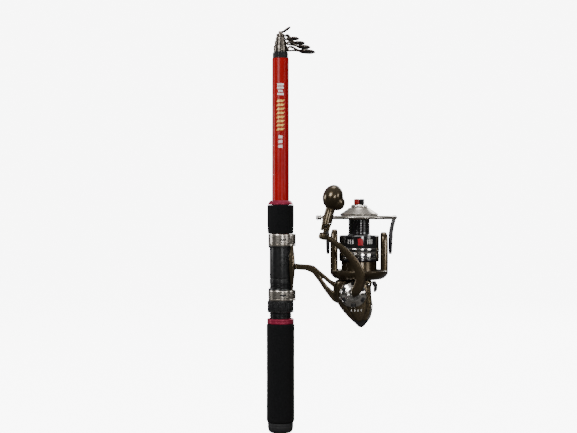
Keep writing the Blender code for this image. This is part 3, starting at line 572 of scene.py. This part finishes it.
def rod_tubes():
    blank = [(BLANK_TIP_R, BLANK_TOP), (BLANK_R, BLANK_LOW), (BLANK_BORE, BLANK_LOW), (BLANK_BORE, BLANK_TOP)]
    blank = turned("butt_blank_look", blank, "red_lacquer", sides=96, radius=0.2)
    done(blank, ROOT, "butt_blank")
    winding = [(7.9, BAND_TOP), (8.5, BAND_TOP - 0.5)]
    z = BAND_TOP - 0.6
    while z > BLANK_TOP + 0.9:
        winding += [(8.5, z), (8.38, z - 0.22)]
        z -= 0.42
    foot = BLANK_TOP + 0.3
    winding += [(8.5, BLANK_TOP + 0.5), (8.4, foot), (6.9, foot), (6.9, BAND_TOP)]
    winding = turned("blank_band_look", winding, "black_gloss", sides=72, radius=0.02)
    done(winding, ROOT, "blank_end_band")
    marks = [(359.5 + 3.4 * k, 2.2, 5.0 if k == 1 else 7.2, 0.0, "mark_white") for k in range(4)]
    marks += [(322.0 + 4.3 * k, 2.6, 7.6, 2.2, "mark_gold") for k in range(8)]
    marks += [(303.5 + 5.0 * k, 3.2, 4.2, 0.0, "mark_white") for k in range(3)]
    for index, (z, height, width, slant, look) in enumerate(marks, start=1):
        name = f"blank_mark_{index}"
        patch(name, blank_radius(z), 0.0, width, z, z + height, look, ROOT, slant)
    below = BAND_TOP
    for (number, radius, bore, bottom, top), (cx, cz, outer) in zip(SECTIONS, GUIDES):
        body = f"section_{number}_body"
        tube = [(radius - 0.15, top), (radius, top - 0.3), (radius, bottom), (bore, bottom), (bore, top)]
        tube = turned(f"section_{number}_look", tube, "carbon", radius=0.1, sides=64)
        done(tube, body, f"section_{number}")
        inner, outside, low = radius + 0.3, radius + 0.9, below + 0.3
        edge, groove = outside - 0.15, outside - 0.2
        collar = [(edge, top), (outside, top - 0.3), (outside, low + 1.3), (groove, low + 1.1),
                  (groove, low + 0.9), (outside, low + 0.7), (outside, low + 0.2), (edge, low), (inner, low),
                  (inner, top)]
        collar = turned(f"ferrule_{number}_look", collar, "gunmetal", radius=0.06, sides=64)
        done(collar, body, f"ferrule_{number}")
        guide(number, radius, below, top, cx, cz, outer, body)
        below = top
    tip = [(0, TIP_TOP), (1.2, TIP_TOP), (1.4, TIP_TOP - 0.6), (1.5, TIP_TOP - 2.4), (2.3, 42.0), (0, 42.0)]
    done(turned("tip_section_look", tip, "carbon", sides=48), "tip_body", "tip_section")
    centre = Vector((6.4, 0, 430.4))
    slope = Vector((0.82, 0, 0.57)).normalized()
    hoop_r = 4.3
    hoop = []
    for degrees in range(-150, 151, 20):
        angle = math.radians(degrees)
        hoop.append(centre + slope * (hoop_r * math.cos(angle)) + Y * (hoop_r * math.sin(angle)))
    legs = [Vector((1.8, -0.8, TIP_TOP - 1.4)), Vector((2.4, -1.2, TIP_TOP - 0.3))]
    cover = sleeve("tip_top_sleeve", 2.3, 1.6, TIP_TOP - 2.6, TIP_TOP + 0.2, "gunmetal", sides=40)
    done(cover, "tip_body", None)
    bar = wire("tip_top_look", legs + hoop + mirrored(legs), 0.9, "gunmetal")
    done(bar, "tip_body", "tip_top_frame")
    liner = [(3.5, 0.45), (3.5, -0.45), (3.1, -0.9), (2.5, -0.8), (2.25, 0), (2.5, 0.8), (3.1, 0.9)]
    ring = turned("tip_ring_look", liner, "ceramic", at=centre, along=slope.cross(Y), sides=48, radius=0.3)
    done(ring, "tip_body", "tip_top_ring")


def guide(number, radius, below, top, cx, cz, outer, body):
    tilt = Matrix.Rotation(GUIDE_TILT, 4, "Y")
    centre = Vector((cx, 0, cz))
    hoop_r = outer - 0.7
    hoop = []
    for degrees in range(-150, 151, 15):
        angle = math.radians(degrees)
        hoop.append(centre + tilt @ Vector((hoop_r * math.cos(angle), hoop_r * math.sin(angle), 0)))
    root_x, root_z = radius + 1.9, below + 1.8
    legs = [Vector((root_x, -1.2, below + 1.1)), Vector((root_x, -1.4, top - 1.6)),
            Vector((root_x + 1.6, -1.8, top - 0.9))]
    bar = wire(f"guide_{number}_frame_look", legs + hoop + mirrored(legs), 0.95, "gunmetal")
    near = centre + tilt @ Vector((-hoop_r, 0, 0))
    middle = Vector(((root_x + near.x) / 2, 0, (root_z + near.z) / 2 + 0.5))
    line = [Vector((root_x - 0.2, 0, root_z)), middle, near]
    brace = wire(f"guide_{number}_brace", line, 1.0, "gunmetal")
    done(brace, body, None)
    done(bar, body, f"guide_{number}_frame")
    edge, inner = outer - 1.2, outer - 2.7
    liner = [(edge, 1.0), (edge, -1.0), (edge - 0.5, -1.6), (inner + 0.4, -1.5), (inner, 0),
             (inner + 0.4, 1.5), (edge - 0.5, 1.6)]
    ring = turned(f"guide_{number}_ring_look", liner, "ceramic", at=centre, along=tilt @ Z, sides=64,
                  radius=0.4)
    done(ring, body, f"guide_{number}_ring")


# ------------------------------------------------------------------ reel body
BODY_OUTLINE = [
    (60.5, 162.6), (74.0, 162.7), (96.4, 162.5), (96.3, 155.5), (96.7, 145.3), (97.6, 136.3),
    (95.2, 124.0), (91.3, 117.4), (85.5, 112.9), (79.2, 117.2), (70.0, 126.0), (62.5, 135.5), (58.4, 144.0),
    (57.9, 152.0), (58.2, 158.0),
]
COVER_OUTLINE = [
    (64.3, 149.8), (65.2, 158.0), (70.4, 161.5), (79.0, 161.9), (88.0, 161.3), (92.4, 153.0), (91.7, 138.6),
    (88.0, 124.0), (83.4, 119.4), (76.5, 126.0), (68.8, 138.6),
]
STEM_OUTLINE = [
    (12.5, 181.6), (16.2, 180.2), (31.9, 179.0), (36.4, 177.7), (45.4, 170.0), (54.4, 162.4), (60.0, 160.0),
    (66.0, 158.0), (66.0, 140.0), (59.8, 138.1), (55.8, 140.4), (47.7, 150.7), (40.9, 161.0), (34.2, 170.0),
    (27.4, 173.2), (16.2, 174.0), (12.5, 172.4),
]
WINDOW_OUTLINE = [(43.4, 166.2), (50.0, 160.4), (56.3, 155.2), (56.5, 150.8), (50.6, 156.2), (45.9, 162.2)]


def reel_frame():
    housing = plate("reel_frame_look", [BODY_OUTLINE], -HOUSING_Y, HOUSING_Y, "bronze_paint",
                    rounding=HOUSING_ROUND)
    stem = plate("stem", [STEM_OUTLINE, WINDOW_OUTLINE], -4.0, 4.0, "bronze_paint", rounding=1.0,
                 smooth_line=False)
    # along the foot from its middle: place, half width and front
    ends = [(0.62, 4.6, 13.7), (0.94, 4.3, 13.5), (1.0, 3.5, 13.3)]
    blade = [(-s, w, t) for s, w, t in reversed(ends)]
    blade += [(-0.35, 7.3, 15.1), (0.0, 8.0, 15.9), (0.35, 7.3, 15.1)] + ends
    back, middle_z, half_long = 8.0, 178.4, 32.2
    sections = []
    for s, width, front in blade:
        centre = Vector(((front + back) / 2, 0, middle_z + s * half_long))
        sections.append((centre, X, (front - back) / 2, Y, width))
    foot = loft("foot", sections, "bronze_paint", squareness=5.0, levels=1)
    lid = box("lid", (57.5, -30, 162.7), (120, 30, 180), None)
    saddle = disc("saddle", HOOD_BORE, 138, 219, None, sides=96)
    tail = box("tail", (50, -30, 90), (120, 30, 120.9), None)
    whole = cut(cast(join(housing, stem, foot), cell=0.4, passes=10), saddle, lid, tail)
    paint(whole.data, LOOKS["bronze_paint"])
    done(smooth(whole, angle=50), ROOT, "reel_frame")
    cap = plate("tail_cap_look", [BODY_OUTLINE], -HOUSING_Y, HOUSING_Y, "black_plastic",
                rounding=HOUSING_ROUND)
    cap = cut(cap, box("rest", (50, -30, 120.6), (120, 30, 190), None))
    paint(cap.data, LOOKS["black_gloss"])
    done(smooth(cap), ROOT, "tail_cap")
    accent = [(98.0, 137.4), (97.2, 130.0), (95.8, 124.4), (94.0, 121.2), (90.0, 121.2), (91.8, 125.6),
              (93.4, 131.0), (94.2, 137.4)]
    accent = plate("tail_accent", [accent], -11.8, 11.8, "chrome", rounding=1.0, smooth_line=False)
    done(smooth(accent, angle=60), ROOT, None)
    cover = plate("side_cover_look", [COVER_OUTLINE], COVER_FRONT, COVER_BACK, "bronze_paint", rounding=1.6)
    hole = disc("hole", 6.4, 10, 40, None, at=(CRANK_X, 0, CRANK_Z), along=-Y)
    done(smooth(cut(cover, hole)), ROOT, "side_cover")
    head = [(0, 1.5), (1.0, 1.4), (1.6, 0.8), (1.6, 0), (0, 0)]
    long, thin = 1.0, 0.2
    for k, (x, z) in enumerate([(63.4, 144.0), (93.0, 158.4)], start=1):
        name = f"cover_screw_{k}"
        screw = turned(name + "_look", head, "chrome", at=(x, COVER_BACK, z), along=-Y, sides=40, radius=0.3)
        bar = box("drive", (x - long, -16, z - thin), (x + long, -13.2, z + thin), None)
        other = box("drive_b", (x - thin, -16, z - long), (x + thin, -13.2, z + long), None)
        done(smooth(cut(screw, bar, other)), ROOT, name)
    z, half_wide, half_tall = 131.6, 0.35, 1.1
    for index, x in enumerate((75.0, 78.4, 81.8, 85.2), start=1):
        low = (x - half_wide, COVER_FRONT - 0.06, z - half_tall)
        high = (x + half_wide, COVER_FRONT + 0.2, z + half_tall)
        done(box(f"cover_mark_{index}", low, high, "mark_white", bevel=0.04), ROOT, None)
    cap = [(0, 3.0), (2.2, 3.0), (2.6, 3.4), (4.4, 3.4), (5.8, 2.2), (6.2, 0), (0, 0)]

    def coin(angle, r, z):
        return r - (0.35 * (0.5 - 0.5 * math.cos(angle * 20)) if r > 5.0 and z > 0.2 else 0.0)

    at = (CRANK_X, -COVER_BACK, CRANK_Z)
    cap = turned("opposite_cap_look", cap, "chrome", at=at, along=Y, sides=160, wave=coin)
    done(cap, ROOT, "opposite_cap")
    hook = [(98.0, 161.6), (101.6, 161.6), (103.6, 157.8), (103.2, 152.4), (101.4, 149.8), (99.6, 150.0),
            (99.7, 154.8), (98.0, 157.8)]
    hook = plate("anti_reverse_look", [hook], -2.4, 2.4, "black_plastic", rounding=0.7, smooth_line=False)
    done(hook, "lever", "anti_reverse_lever")


def drive_boss():
    rim = [(7.0, 9.6), (8.0, 9.2), (8.6, 8.2), (12.4, 6.6), (13.6, 5.0), (14.0, 4.0), (13.6, 3.6),
           (13.6, 2.6), (14.0, 2.2), (14.0, 0.6), (13.4, 0.0), (3.1, 0.0), (3.1, 9.6)]
    at = (CRANK_X, COVER_FRONT - 0.3, CRANK_Z)
    boss = turned("drive_boss_look", rim, "chrome", at=at, along=-Y, sides=96, radius=0.3)
    count = 6

    def spot(k, reach, front):
        """Placing at window k, reach from the axis and front before the cover, turned with the window."""
        angle = math.tau * (k + 0.5) / count
        x, z = CRANK_X + reach * math.cos(angle), CRANK_Z + reach * math.sin(angle)
        place = Matrix.Translation(Vector((x, COVER_FRONT - front, z)) * MM)
        return place @ Matrix.Rotation(-angle, 4, "Y")

    windows = []
    for k in range(count):
        turn = spot(k, 11.4, 8.4)
        windows.append(box(f"window_{k}", (-2.0, -2.6, -2.6), (2.0, 2.6, 2.6), None, bevel=0.5, turn=turn))
    done(smooth(cut(boss, *windows)), "crank", "drive_boss")
    # painted shade: a thin black pad on the floor of each window darkens the recess
    low, high = (-1.7, -0.25, -2.3), (1.7, 0.25, 2.3)
    for k in range(count):
        turn = spot(k, 11.3, 5.9)
        pad = box(f"boss_recess_shade_{k + 1}", low, high, "black_plastic", bevel=0.2, turn=turn)
        done(pad, "crank", None)


# ------------------------------------------------------------------ crank
def crank():
    hub = Vector((CRANK_X, 0, CRANK_Z))
    up = ARM_HINGE.cross(Y) * -1
    neck = disc("crank_knuckle_look", 4.4, 26.3, 29.0, "chrome", at=hub, along=-Y)
    shape = [(-26.8, 6.0, 4.2), (-27.6, 7.0, 4.8), (-30.0, 7.1, 4.8), (-33.0, 7.0, 4.6), (-34.6, 6.2, 3.6)]
    sections = [(hub + Y * y, ARM_HINGE, half_side, up, half_up) for y, half_side, half_up in shape]
    block = loft("block", sections, "chrome", squareness=6.0, levels=1)
    along_hinge = Matrix.Rotation(-math.atan2(ARM_HINGE.z, ARM_HINGE.x), 4, "Y")
    slot = box("slot", (-2.8, -42.0, -12.0), (2.8, -27.6, 12.0), None,
               turn=Matrix.Translation(hub * MM) @ along_hinge)
    hinge = hub + Y * HINGE_Y
    pin = disc("pin", 1.4, -6.4, 6.4, "steel", at=hinge, along=ARM_HINGE, sides=40)
    done(smooth(join(cut(join(neck, block), slot), pin)), "crank", "crank_knuckle")
    # x, y and z along the middle of the arm, with its half width and half thickness there
    path = [
        (76.5, -28.6, 148.9, 2.4, 2.4), (76.5, -32.0, 148.9, 2.4, 2.7), (76.5, -36.6, 149.0, 2.4, 2.5),
        (76.9, -39.4, 150.6, 3.8, 2.1), (78.4, -39.9, 153.6, 5.1, 2.1), (80.9, -40.2, 158.2, 5.5, 2.2),
        (82.7, -40.5, 163.6, 5.4, 2.3), (82.8, -40.9, 169.4, 5.2, 2.3), (80.7, -41.6, 176.4, 4.9, 2.3),
        (76.8, -42.6, 183.6, 4.5, 2.3), (71.2, -43.8, 191.0, 4.1, 2.3), (64.2, -45.6, 197.6, 3.5, 2.3),
        (55.2, -47.8, 204.4, 2.9, 2.3), (47.6, -49.6, 209.6, 2.6, 2.3),
    ]
    in_clevis = 3  # the first rows stay square to the hinge pin
    points = [Vector(row[:3]) for row in path]
    sections = []
    for k, (_, _, _, half_wide, half_thick) in enumerate(path):
        ahead = (points[min(k + 1, len(points) - 1)] - points[max(k - 1, 0)]).normalized()
        wide = ARM_HINGE if k < in_clevis else Vector((ahead.z, 0, -ahead.x)).normalized()
        sections.append((points[k], wide, half_wide, ahead.cross(wide).normalized(), half_thick))
    blade = loft("crank_arm_look", sections, "bronze_paint", squareness=3.0, levels=1)
    post = [(0, 2.0), (3.4, 2.0), (4.8, 0.6), (4.8, -3.4), (3.4, -5.0), (0, -5.4)]
    socket = turned("socket", post, "bronze_paint", at=ARM_END, along=KNOB_AXIS, radius=0.8)
    tongue = box("tongue", (-1.4, -2.6, -3.0), (1.4, 2.6, KNUCKLE), "bronze_paint", turn=knob_frame())
    pivot = ARM_END + KNOB_AXIS * KNUCKLE
    eye = disc("eye", 2.4, -1.3, 1.3, "bronze_paint", at=pivot, along=KNOB_HINGE)
    arm = cast(join(blade, socket, tongue, eye), cell=0.32, passes=10)
    arm = cut(arm, disc("bore", 1.7, -8, 8, None, at=hinge, along=ARM_HINGE, sides=40))
    done(smooth(arm, angle=60), "arm", "crank_arm")


def knob_frame():
    """Frame at the arm's end: X along the folding pin, Y towards +Y, Z along the knob."""
    rows = Matrix((KNOB_HINGE, Y, KNOB_AXIS)).transposed().to_4x4()
    return Matrix.Translation(ARM_END * MM) @ rows


def knob():
    turn = knob_frame()
    fork = box("knob_spindle_look", (-4.6, -3.4, KNUCKLE - 3.1), (4.6, 3.4, KNUCKLE + 4.4), "bronze_paint",
               bevel=1.0, turn=turn)
    on_axis = {"at": ARM_END, "along": KNOB_AXIS}
    collar = disc("collar", 5.1, KNUCKLE + 3.4, KNUCKLE + 5.6, "bronze_paint", **on_axis)
    slot = box("fork_slot", (-1.6, -9.0, -9.0), (1.6, 9.0, KNUCKLE + 2.9), None, turn=turn)
    spindle = disc("spindle", 1.8, KNUCKLE + 3.6, 34.0, "steel", sides=32, **on_axis)
    fork = join(cut(join(fork, collar), slot), spindle)
    pin = [(0, 4.2), (1.3, 4.2), (1.5, 3.9), (1.5, -3.9), (1.3, -4.2), (0, -4.2)]
    pivot = ARM_END + KNOB_AXIS * KNUCKLE
    pin = turned("pin", pin, "steel", at=pivot, along=KNOB_HINGE, sides=32)
    done(smooth(join(fork, pin)), "knob_fork", "knob_spindle")
    c, low = BALL_CENTRE, KNUCKLE + 5.7
    egg = [(0, c + BALL_TALL)]
    for degrees in range(80, -81, -8):
        angle = math.radians(degrees)
        egg.append(((BALL_R - 0.6) * math.cos(angle), c + BALL_TALL * math.sin(angle)))
    egg.append((0, c - BALL_TALL))
    at = ARM_END - KNOB_HINGE * 0.6
    egg = turned("handle_knob_look", egg, "bronze_paint", at=at, along=KNOB_AXIS, radius=0.1)
    lobe_r = 8.0
    lobe = []
    for degrees in range(90, -91, -10):
        angle = math.radians(degrees)
        lobe.append((max(0.0, lobe_r * math.cos(angle)), lobe_r * math.sin(angle)))
    at = ARM_END + KNOB_AXIS * (c - 4.4) + KNOB_HINGE * 5.2
    lobe = turned("lobe", lobe, "bronze_paint", at=at, along=KNOB_AXIS, radius=0.1)
    neck = [(4.9, c - 4), (4.9, c - 15.0), (5.2, c - 22.0), (5.4, low), (5.4, low - 2.0), (0, low - 2.0),
            (0, c - 4)]
    neck = turned("neck", neck, "bronze_paint", radius=0.5, **on_axis)
    whole = cast(join(egg, lobe, neck), cell=0.38, passes=22)
    end = disc("neck_end", 9.0, low - 6.0, low, None, **on_axis)
    bore = disc("spindle_bore", 2.1, low - 2.0, 34.4, None, sides=32, **on_axis)
    done(smooth(cut(whole, end, bore), angle=60), "knob", "handle_knob")


# ------------------------------------------------------------------ rotor and bail
def beside_spool(side, shape):
    """Loft sections on that side of the spool, from (height, distance out, half width, half thickness)."""
    return [(Vector((SPOOL_X + side * r, 0, z)), X, t, Y, w) for z, r, w, t in shape]


def rotor():
    low = 163.3
    cup = [
        (30.2, 173.2), (30.8, 172.4), (30.7, 170.8), (30.0, 168.8), (28.6, 166.8), (26.4, 165.0),
        (23.4, 163.8), (20.4, low), (3.4, low), (3.4, 183.0), (5.6, 183.0), (5.6, 171.0), (16.2, 171.0),
        (16.2, 183.0), (18.2, 183.0), (18.9, 182.2), (18.9, 168.0), (22.2, 168.0), (22.2, 172.6),
        (22.8, 173.4), (29.4, 173.6),
    ]
    bowl = turned("rotor_look", cup, "bronze_paint", at=(SPOOL_X, 0, 0), sides=128, radius=0.5)
    arms = []
    for side, drop in ((-1, 0.0), (1, 3.0)):
        shape = [
            (169.0, 26.7, 8.2, 3.9), (176.0, 26.7, 8.4, 4.0), (190.0, 26.8, 8.2, 4.0),
            (204.0, 26.8, 7.8, 4.0), (211.0 - drop / 2, 26.7, 7.2, 3.9), (215.0 - drop, 26.4, 5.8, 3.4),
            (217.0 - drop, 26.2, 3.2, 2.4),
        ]
        sections = beside_spool(side, shape)
        arms.append(loft(f"arm_{side}", sections, "bronze_paint", squareness=4.0, levels=1))
    done(smooth(join(bowl, *arms)), "rotor_body", "rotor")


def bail():
    shape = [
        (190.5, 33.3, 3.6, 1.4), (194.0, 33.4, 5.6, 1.9), (203.0, 33.5, 6.6, 2.0), (211.0, 33.6, 6.2, 2.1),
        (219.0, 34.8, 4.6, 2.2), (226.0, 36.8, 3.4, 2.2), (231.8, 37.9, 2.8, 2.0),
    ]
    head = [(0, 1.5), (1.8, 1.5), (2.4, 1.0), (2.4, 0), (0, 0)]
    for side, name, node in ((-1, "bail_lever_a_look", "bail_lever_roller_side"),
                             (1, "bail_lever_b_look", "bail_lever_far_side")):
        sections = beside_spool(side, shape)
        lever = loft(name, sections, "black_plastic", squareness=3.2, levels=2)
        done(lever, "bail", node)
        at = (SPOOL_X + side * 34.6, 0, PIVOT_Z)
        screw = turned(f"pivot_screw_{side + 2}", head, "chrome", at=at, along=X * side, sides=40, radius=0.3)
        slot_x = at[0] + side * 1.1
        slot = box("slot", (slot_x - 0.6, -2.6, PIVOT_Z - 0.3), (slot_x + 0.6, 2.6, PIVOT_Z + 0.3), None)
        done(smooth(cut(screw, slot)), "bail", None)
    end_y, count = -3.2, 24
    points = [(SPOOL_X - BAIL_R, end_y, WIRE_Z)]
    for k in range(1, count):
        angle = math.pi * k / count
        points.append((SPOOL_X - BAIL_R * math.cos(angle), -BAIL_R * math.sin(angle), WIRE_Z))
    points.append((SPOOL_X + BAIL_R, end_y, WIRE_Z))
    done(wire("bail_wire_look", points, 1.9, "nickel", steps=6), "bail", "bail_wire")
    groove = [(3.1, 2.1), (3.1, 1.6), (2.3, 0.6), (2.2, 0), (2.3, -0.6), (3.1, -1.6), (3.1, -2.1),
              (1.6, -2.1), (1.6, 2.1)]
    at = (SPOOL_X - 42.6, 0, WIRE_Z)
    roller = turned("line_roller_look", groove, "chrome", at=at, along=X, sides=64)
    done(roller, "roller", "line_roller")
    stud = [(0, 7.8), (1.8, 7.8), (2.4, 7.3), (2.4, 6.7), (1.2, 6.6), (1.2, 0.4), (0, 0.4)]
    at = (SPOOL_X - 38.4, 0, WIRE_Z)
    stud = turned("roller_screw", stud, "chrome", at=at, along=-X, sides=40, radius=0.2)
    done(stud, "bail", None)


# ------------------------------------------------------------------ spool and drag
def spool():
    r = SPOOL_R
    rib_r, root_r = 11.5, 11.1
    arbor = [(11.2, 228.6), (rib_r, 228.3)]
    z = 227.6
    while z > 213.2:
        arbor += [(rib_r, z), (root_r, z - 0.25), (root_r, z - 0.65), (rib_r, z - 0.9)]
        z -= 1.8
    shell = arbor + [
        (11.6, 212.0), (12.6, 210.8), (r - 0.9, 210.6), (r, 209.7), (r, 197.1), (20.2, 197.1),
        (20.2, 185.4), (r, 185.4), (r, 183.4), (r - 0.6, 182.8), (19.4, 182.8), (19.4, 207.0), (1.9, 207.0),
        (1.9, 222.5), (9.0, 222.5), (9.0, 228.6),
    ]
    at = (SPOOL_X, 0, 0)
    shell = turned("spool_look", shell, "black_gloss", at=at, sides=128, radius=0.2)
    done(shell, "spool_body", "spool")
    lip = [
        (10.2, 240.0), (11.2, 239.8), (12.4, 238.4), (18.6, 234.4), (20.0, 233.6), (20.5, 232.8),
        (20.4, 232.0), (19.6, 231.6), (12.2, 228.9), (9.4, 228.9), (9.4, 239.4),
    ]
    lip = turned("spool_lip_look", lip, "nickel", at=at, sides=128, radius=0.4)
    done(lip, "spool_body", "spool_lip")
    band = [(21.4, 196.8), (21.5, 196.2), (21.4, 192.4), (20.8, 192.0), (20.8, 191.4), (21.4, 191.0),
            (21.5, 186.4), (21.3, 185.8), (20.5, 185.8), (20.5, 196.8)]
    ring = turned("spool_band_look", band, "chrome", at=at, sides=128, radius=0.12)
    centre = Matrix.Translation((SPOOL_X * MM, 0, 0))
    count = 12
    slots = []
    for k in range(count):
        turn = centre @ Matrix.Rotation(math.tau * (k + 0.25) / count, 4, "Z")
        for low, high in ((187.5, 189.5), (193.4, 195.4)):
            slots.append(box(f"slot_{k}", (19.6, -3.0, low), (23.0, 3.0, high), None, bevel=0.6, turn=turn))
    done(smooth(cut(ring, *slots)), "spool_body", "spool_band")
    bar, block = (1.0, 201.6, 206.4, "mark_white"), (5.4, 200.2, 207.4, "mark_red")
    for index, turn in enumerate((-0.62, -0.50, -0.38, 0.0, 0.38, 0.50, 0.62), start=1):
        width, low, high, look = bar if turn else block
        patch(f"spool_mark_{index}", SPOOL_R, turn, width, low, high, look, "spool_body",
              centre=(SPOOL_X, 0))
    base = [
        (0, 243.4), (6.6, 243.4), (7.8, 243.0), (9.0, 242.0), (9.0, 240.5), (8.6, 240.2), (8.6, 225.1),
        (1.9, 225.1), (1.9, 239.4), (0, 239.4),
    ]

    def flutes(angle, rr, z):
        return rr - (0.4 * (0.5 - 0.5 * math.cos(angle * 24)) ** 2 if rr > 8.8 else 0.0)

    drag = turned("drag_knob_look", base, "chrome", at=at, sides=288, radius=0.3, wave=flutes)
    done(drag, "drag", "drag_knob")
    gap, out, half, low, high = 0.15, 5.2, 7, 243.5, 249.3
    red = box("drag_grip_red_look", (SPOOL_X - out, -half, low), (SPOOL_X - gap, half, high), "red_knob",
              bevel=1.0)
    done(red, "drag", "drag_grip_red")
    grey = box("drag_grip_grey_look", (SPOOL_X + gap, -half, low), (SPOOL_X + out, half, high), "black_gloss",
               bevel=1.0)
    done(grey, "drag", "drag_grip_grey")


# ------------------------------------------------------------------ stage
FLOOR_GLOW, BACKDROP, SURROUND = 7.6, 8.0, 0.5


def lights():
    target = Vector((0.04, 0, 0.2))
    for name, at, size, power in (
        ("key", (-0.75, -1.4, 0.9), 0.6, 22.0), ("fill", (1.4, -0.9, 0.5), 0.5, 6.0),
        ("front", (0.60, -1.8, 0.36), 0.3, 7.0), ("top", (0.1, 0.1, 1.7), 0.7, 9.0),
        ("rim", (0.8, 1.2, 0.9), 0.6, 9.0), ("strip", (-1.3, 0.2, 0.4), 0.4, 6.0),
    ):
        data = bpy.data.lights.new(name, "AREA")
        data.energy, data.size = power, size
        lamp = new_object(name, data)
        lamp.location = at
        lamp.rotation_euler = (target - Vector(at)).to_track_quat("-Z", "Y").to_euler()


def studio():
    """A white surround for the camera, and a dimmer one with a gradient that lights and is mirrored."""
    world = bpy.data.worlds.new("studio")
    bpy.context.scene.world = world
    world.use_nodes = True
    tree = world.node_tree
    tree.nodes.clear()
    out = tree.nodes.new("ShaderNodeOutputWorld")
    seen = tree.nodes.new("ShaderNodeBackground")
    lit = tree.nodes.new("ShaderNodeBackground")
    mix = tree.nodes.new("ShaderNodeMixShader")
    path = tree.nodes.new("ShaderNodeLightPath")
    seen.inputs["Color"].default_value = (1, 1, 1, 1)
    seen.inputs["Strength"].default_value = BACKDROP
    coord = tree.nodes.new("ShaderNodeTexCoord")
    split = tree.nodes.new("ShaderNodeSeparateXYZ")
    height = tree.nodes.new("ShaderNodeMapRange")
    height.inputs["From Min"].default_value = -1.0
    ramp = tree.nodes.new("ShaderNodeValToRGB")
    tree.links.new(coord.outputs["Generated"], split.inputs["Vector"])
    tree.links.new(split.outputs["Z"], height.inputs["Value"])
    tree.links.new(height.outputs["Result"], ramp.inputs["Fac"])
    stops = ramp.color_ramp.elements
    stops[0].color = (0.16, 0.15, 0.14, 1)
    stops[1].position = 0.86
    stops[1].color = (1.0, 1.0, 1.0, 1)
    # a dark band at the horizon gives bright metal its dark outline
    for place, shade in ((0.40, 0.38), (0.47, 0.05), (0.55, 0.05), (0.62, 0.45)):
        stops.new(place).color = (shade, shade * 0.99, shade * 0.97, 1)
    tree.links.new(ramp.outputs["Color"], lit.inputs["Color"])
    lit.inputs["Strength"].default_value = SURROUND
    tree.links.new(path.outputs["Is Camera Ray"], mix.inputs["Fac"])
    tree.links.new(lit.outputs["Background"], mix.inputs[1])
    tree.links.new(seen.outputs["Background"], mix.inputs[2])
    tree.links.new(mix.outputs["Shader"], out.inputs["Surface"])


def stage():
    glow = LOOKS["floor"].node_tree.nodes["Principled BSDF"]
    glow.inputs["Emission Color"].default_value = (1, 1, 1, 1)
    glow.inputs["Emission Strength"].default_value = FLOOR_GLOW
    bm = bmesh.new()
    bmesh.ops.create_grid(bm, x_segments=4, y_segments=4, size=6.0)
    ground = add("floor", to_mesh(bm, "floor"), "floor")
    ground.location = (0, 0, -0.2 * MM)
    ground.visible_diffuse = ground.visible_glossy = False
    lights()
    studio()
    data = bpy.data.cameras.new("camera")
    centre_x, centre_z, distance, width = 0.0085, 0.2306, 1.15, 0.617
    data.lens = data.sensor_width * distance / width
    camera = new_object("camera", data)
    camera.location = (centre_x, -distance, centre_z)
    camera.rotation_euler = (math.pi / 2, 0, 0)
    bpy.context.scene.camera = camera


rod_handle()
reel_seat()
rod_tubes()
reel_frame()
drive_boss()
crank()
knob()
rotor()
bail()
spool()
slots = {row["node"]: row["material_slot"] for row in frame["record"]["subparts"]}
for name, obj in frame["nodes"].items():
    paint(obj.data, LOOKS[slots[name]])
stage()
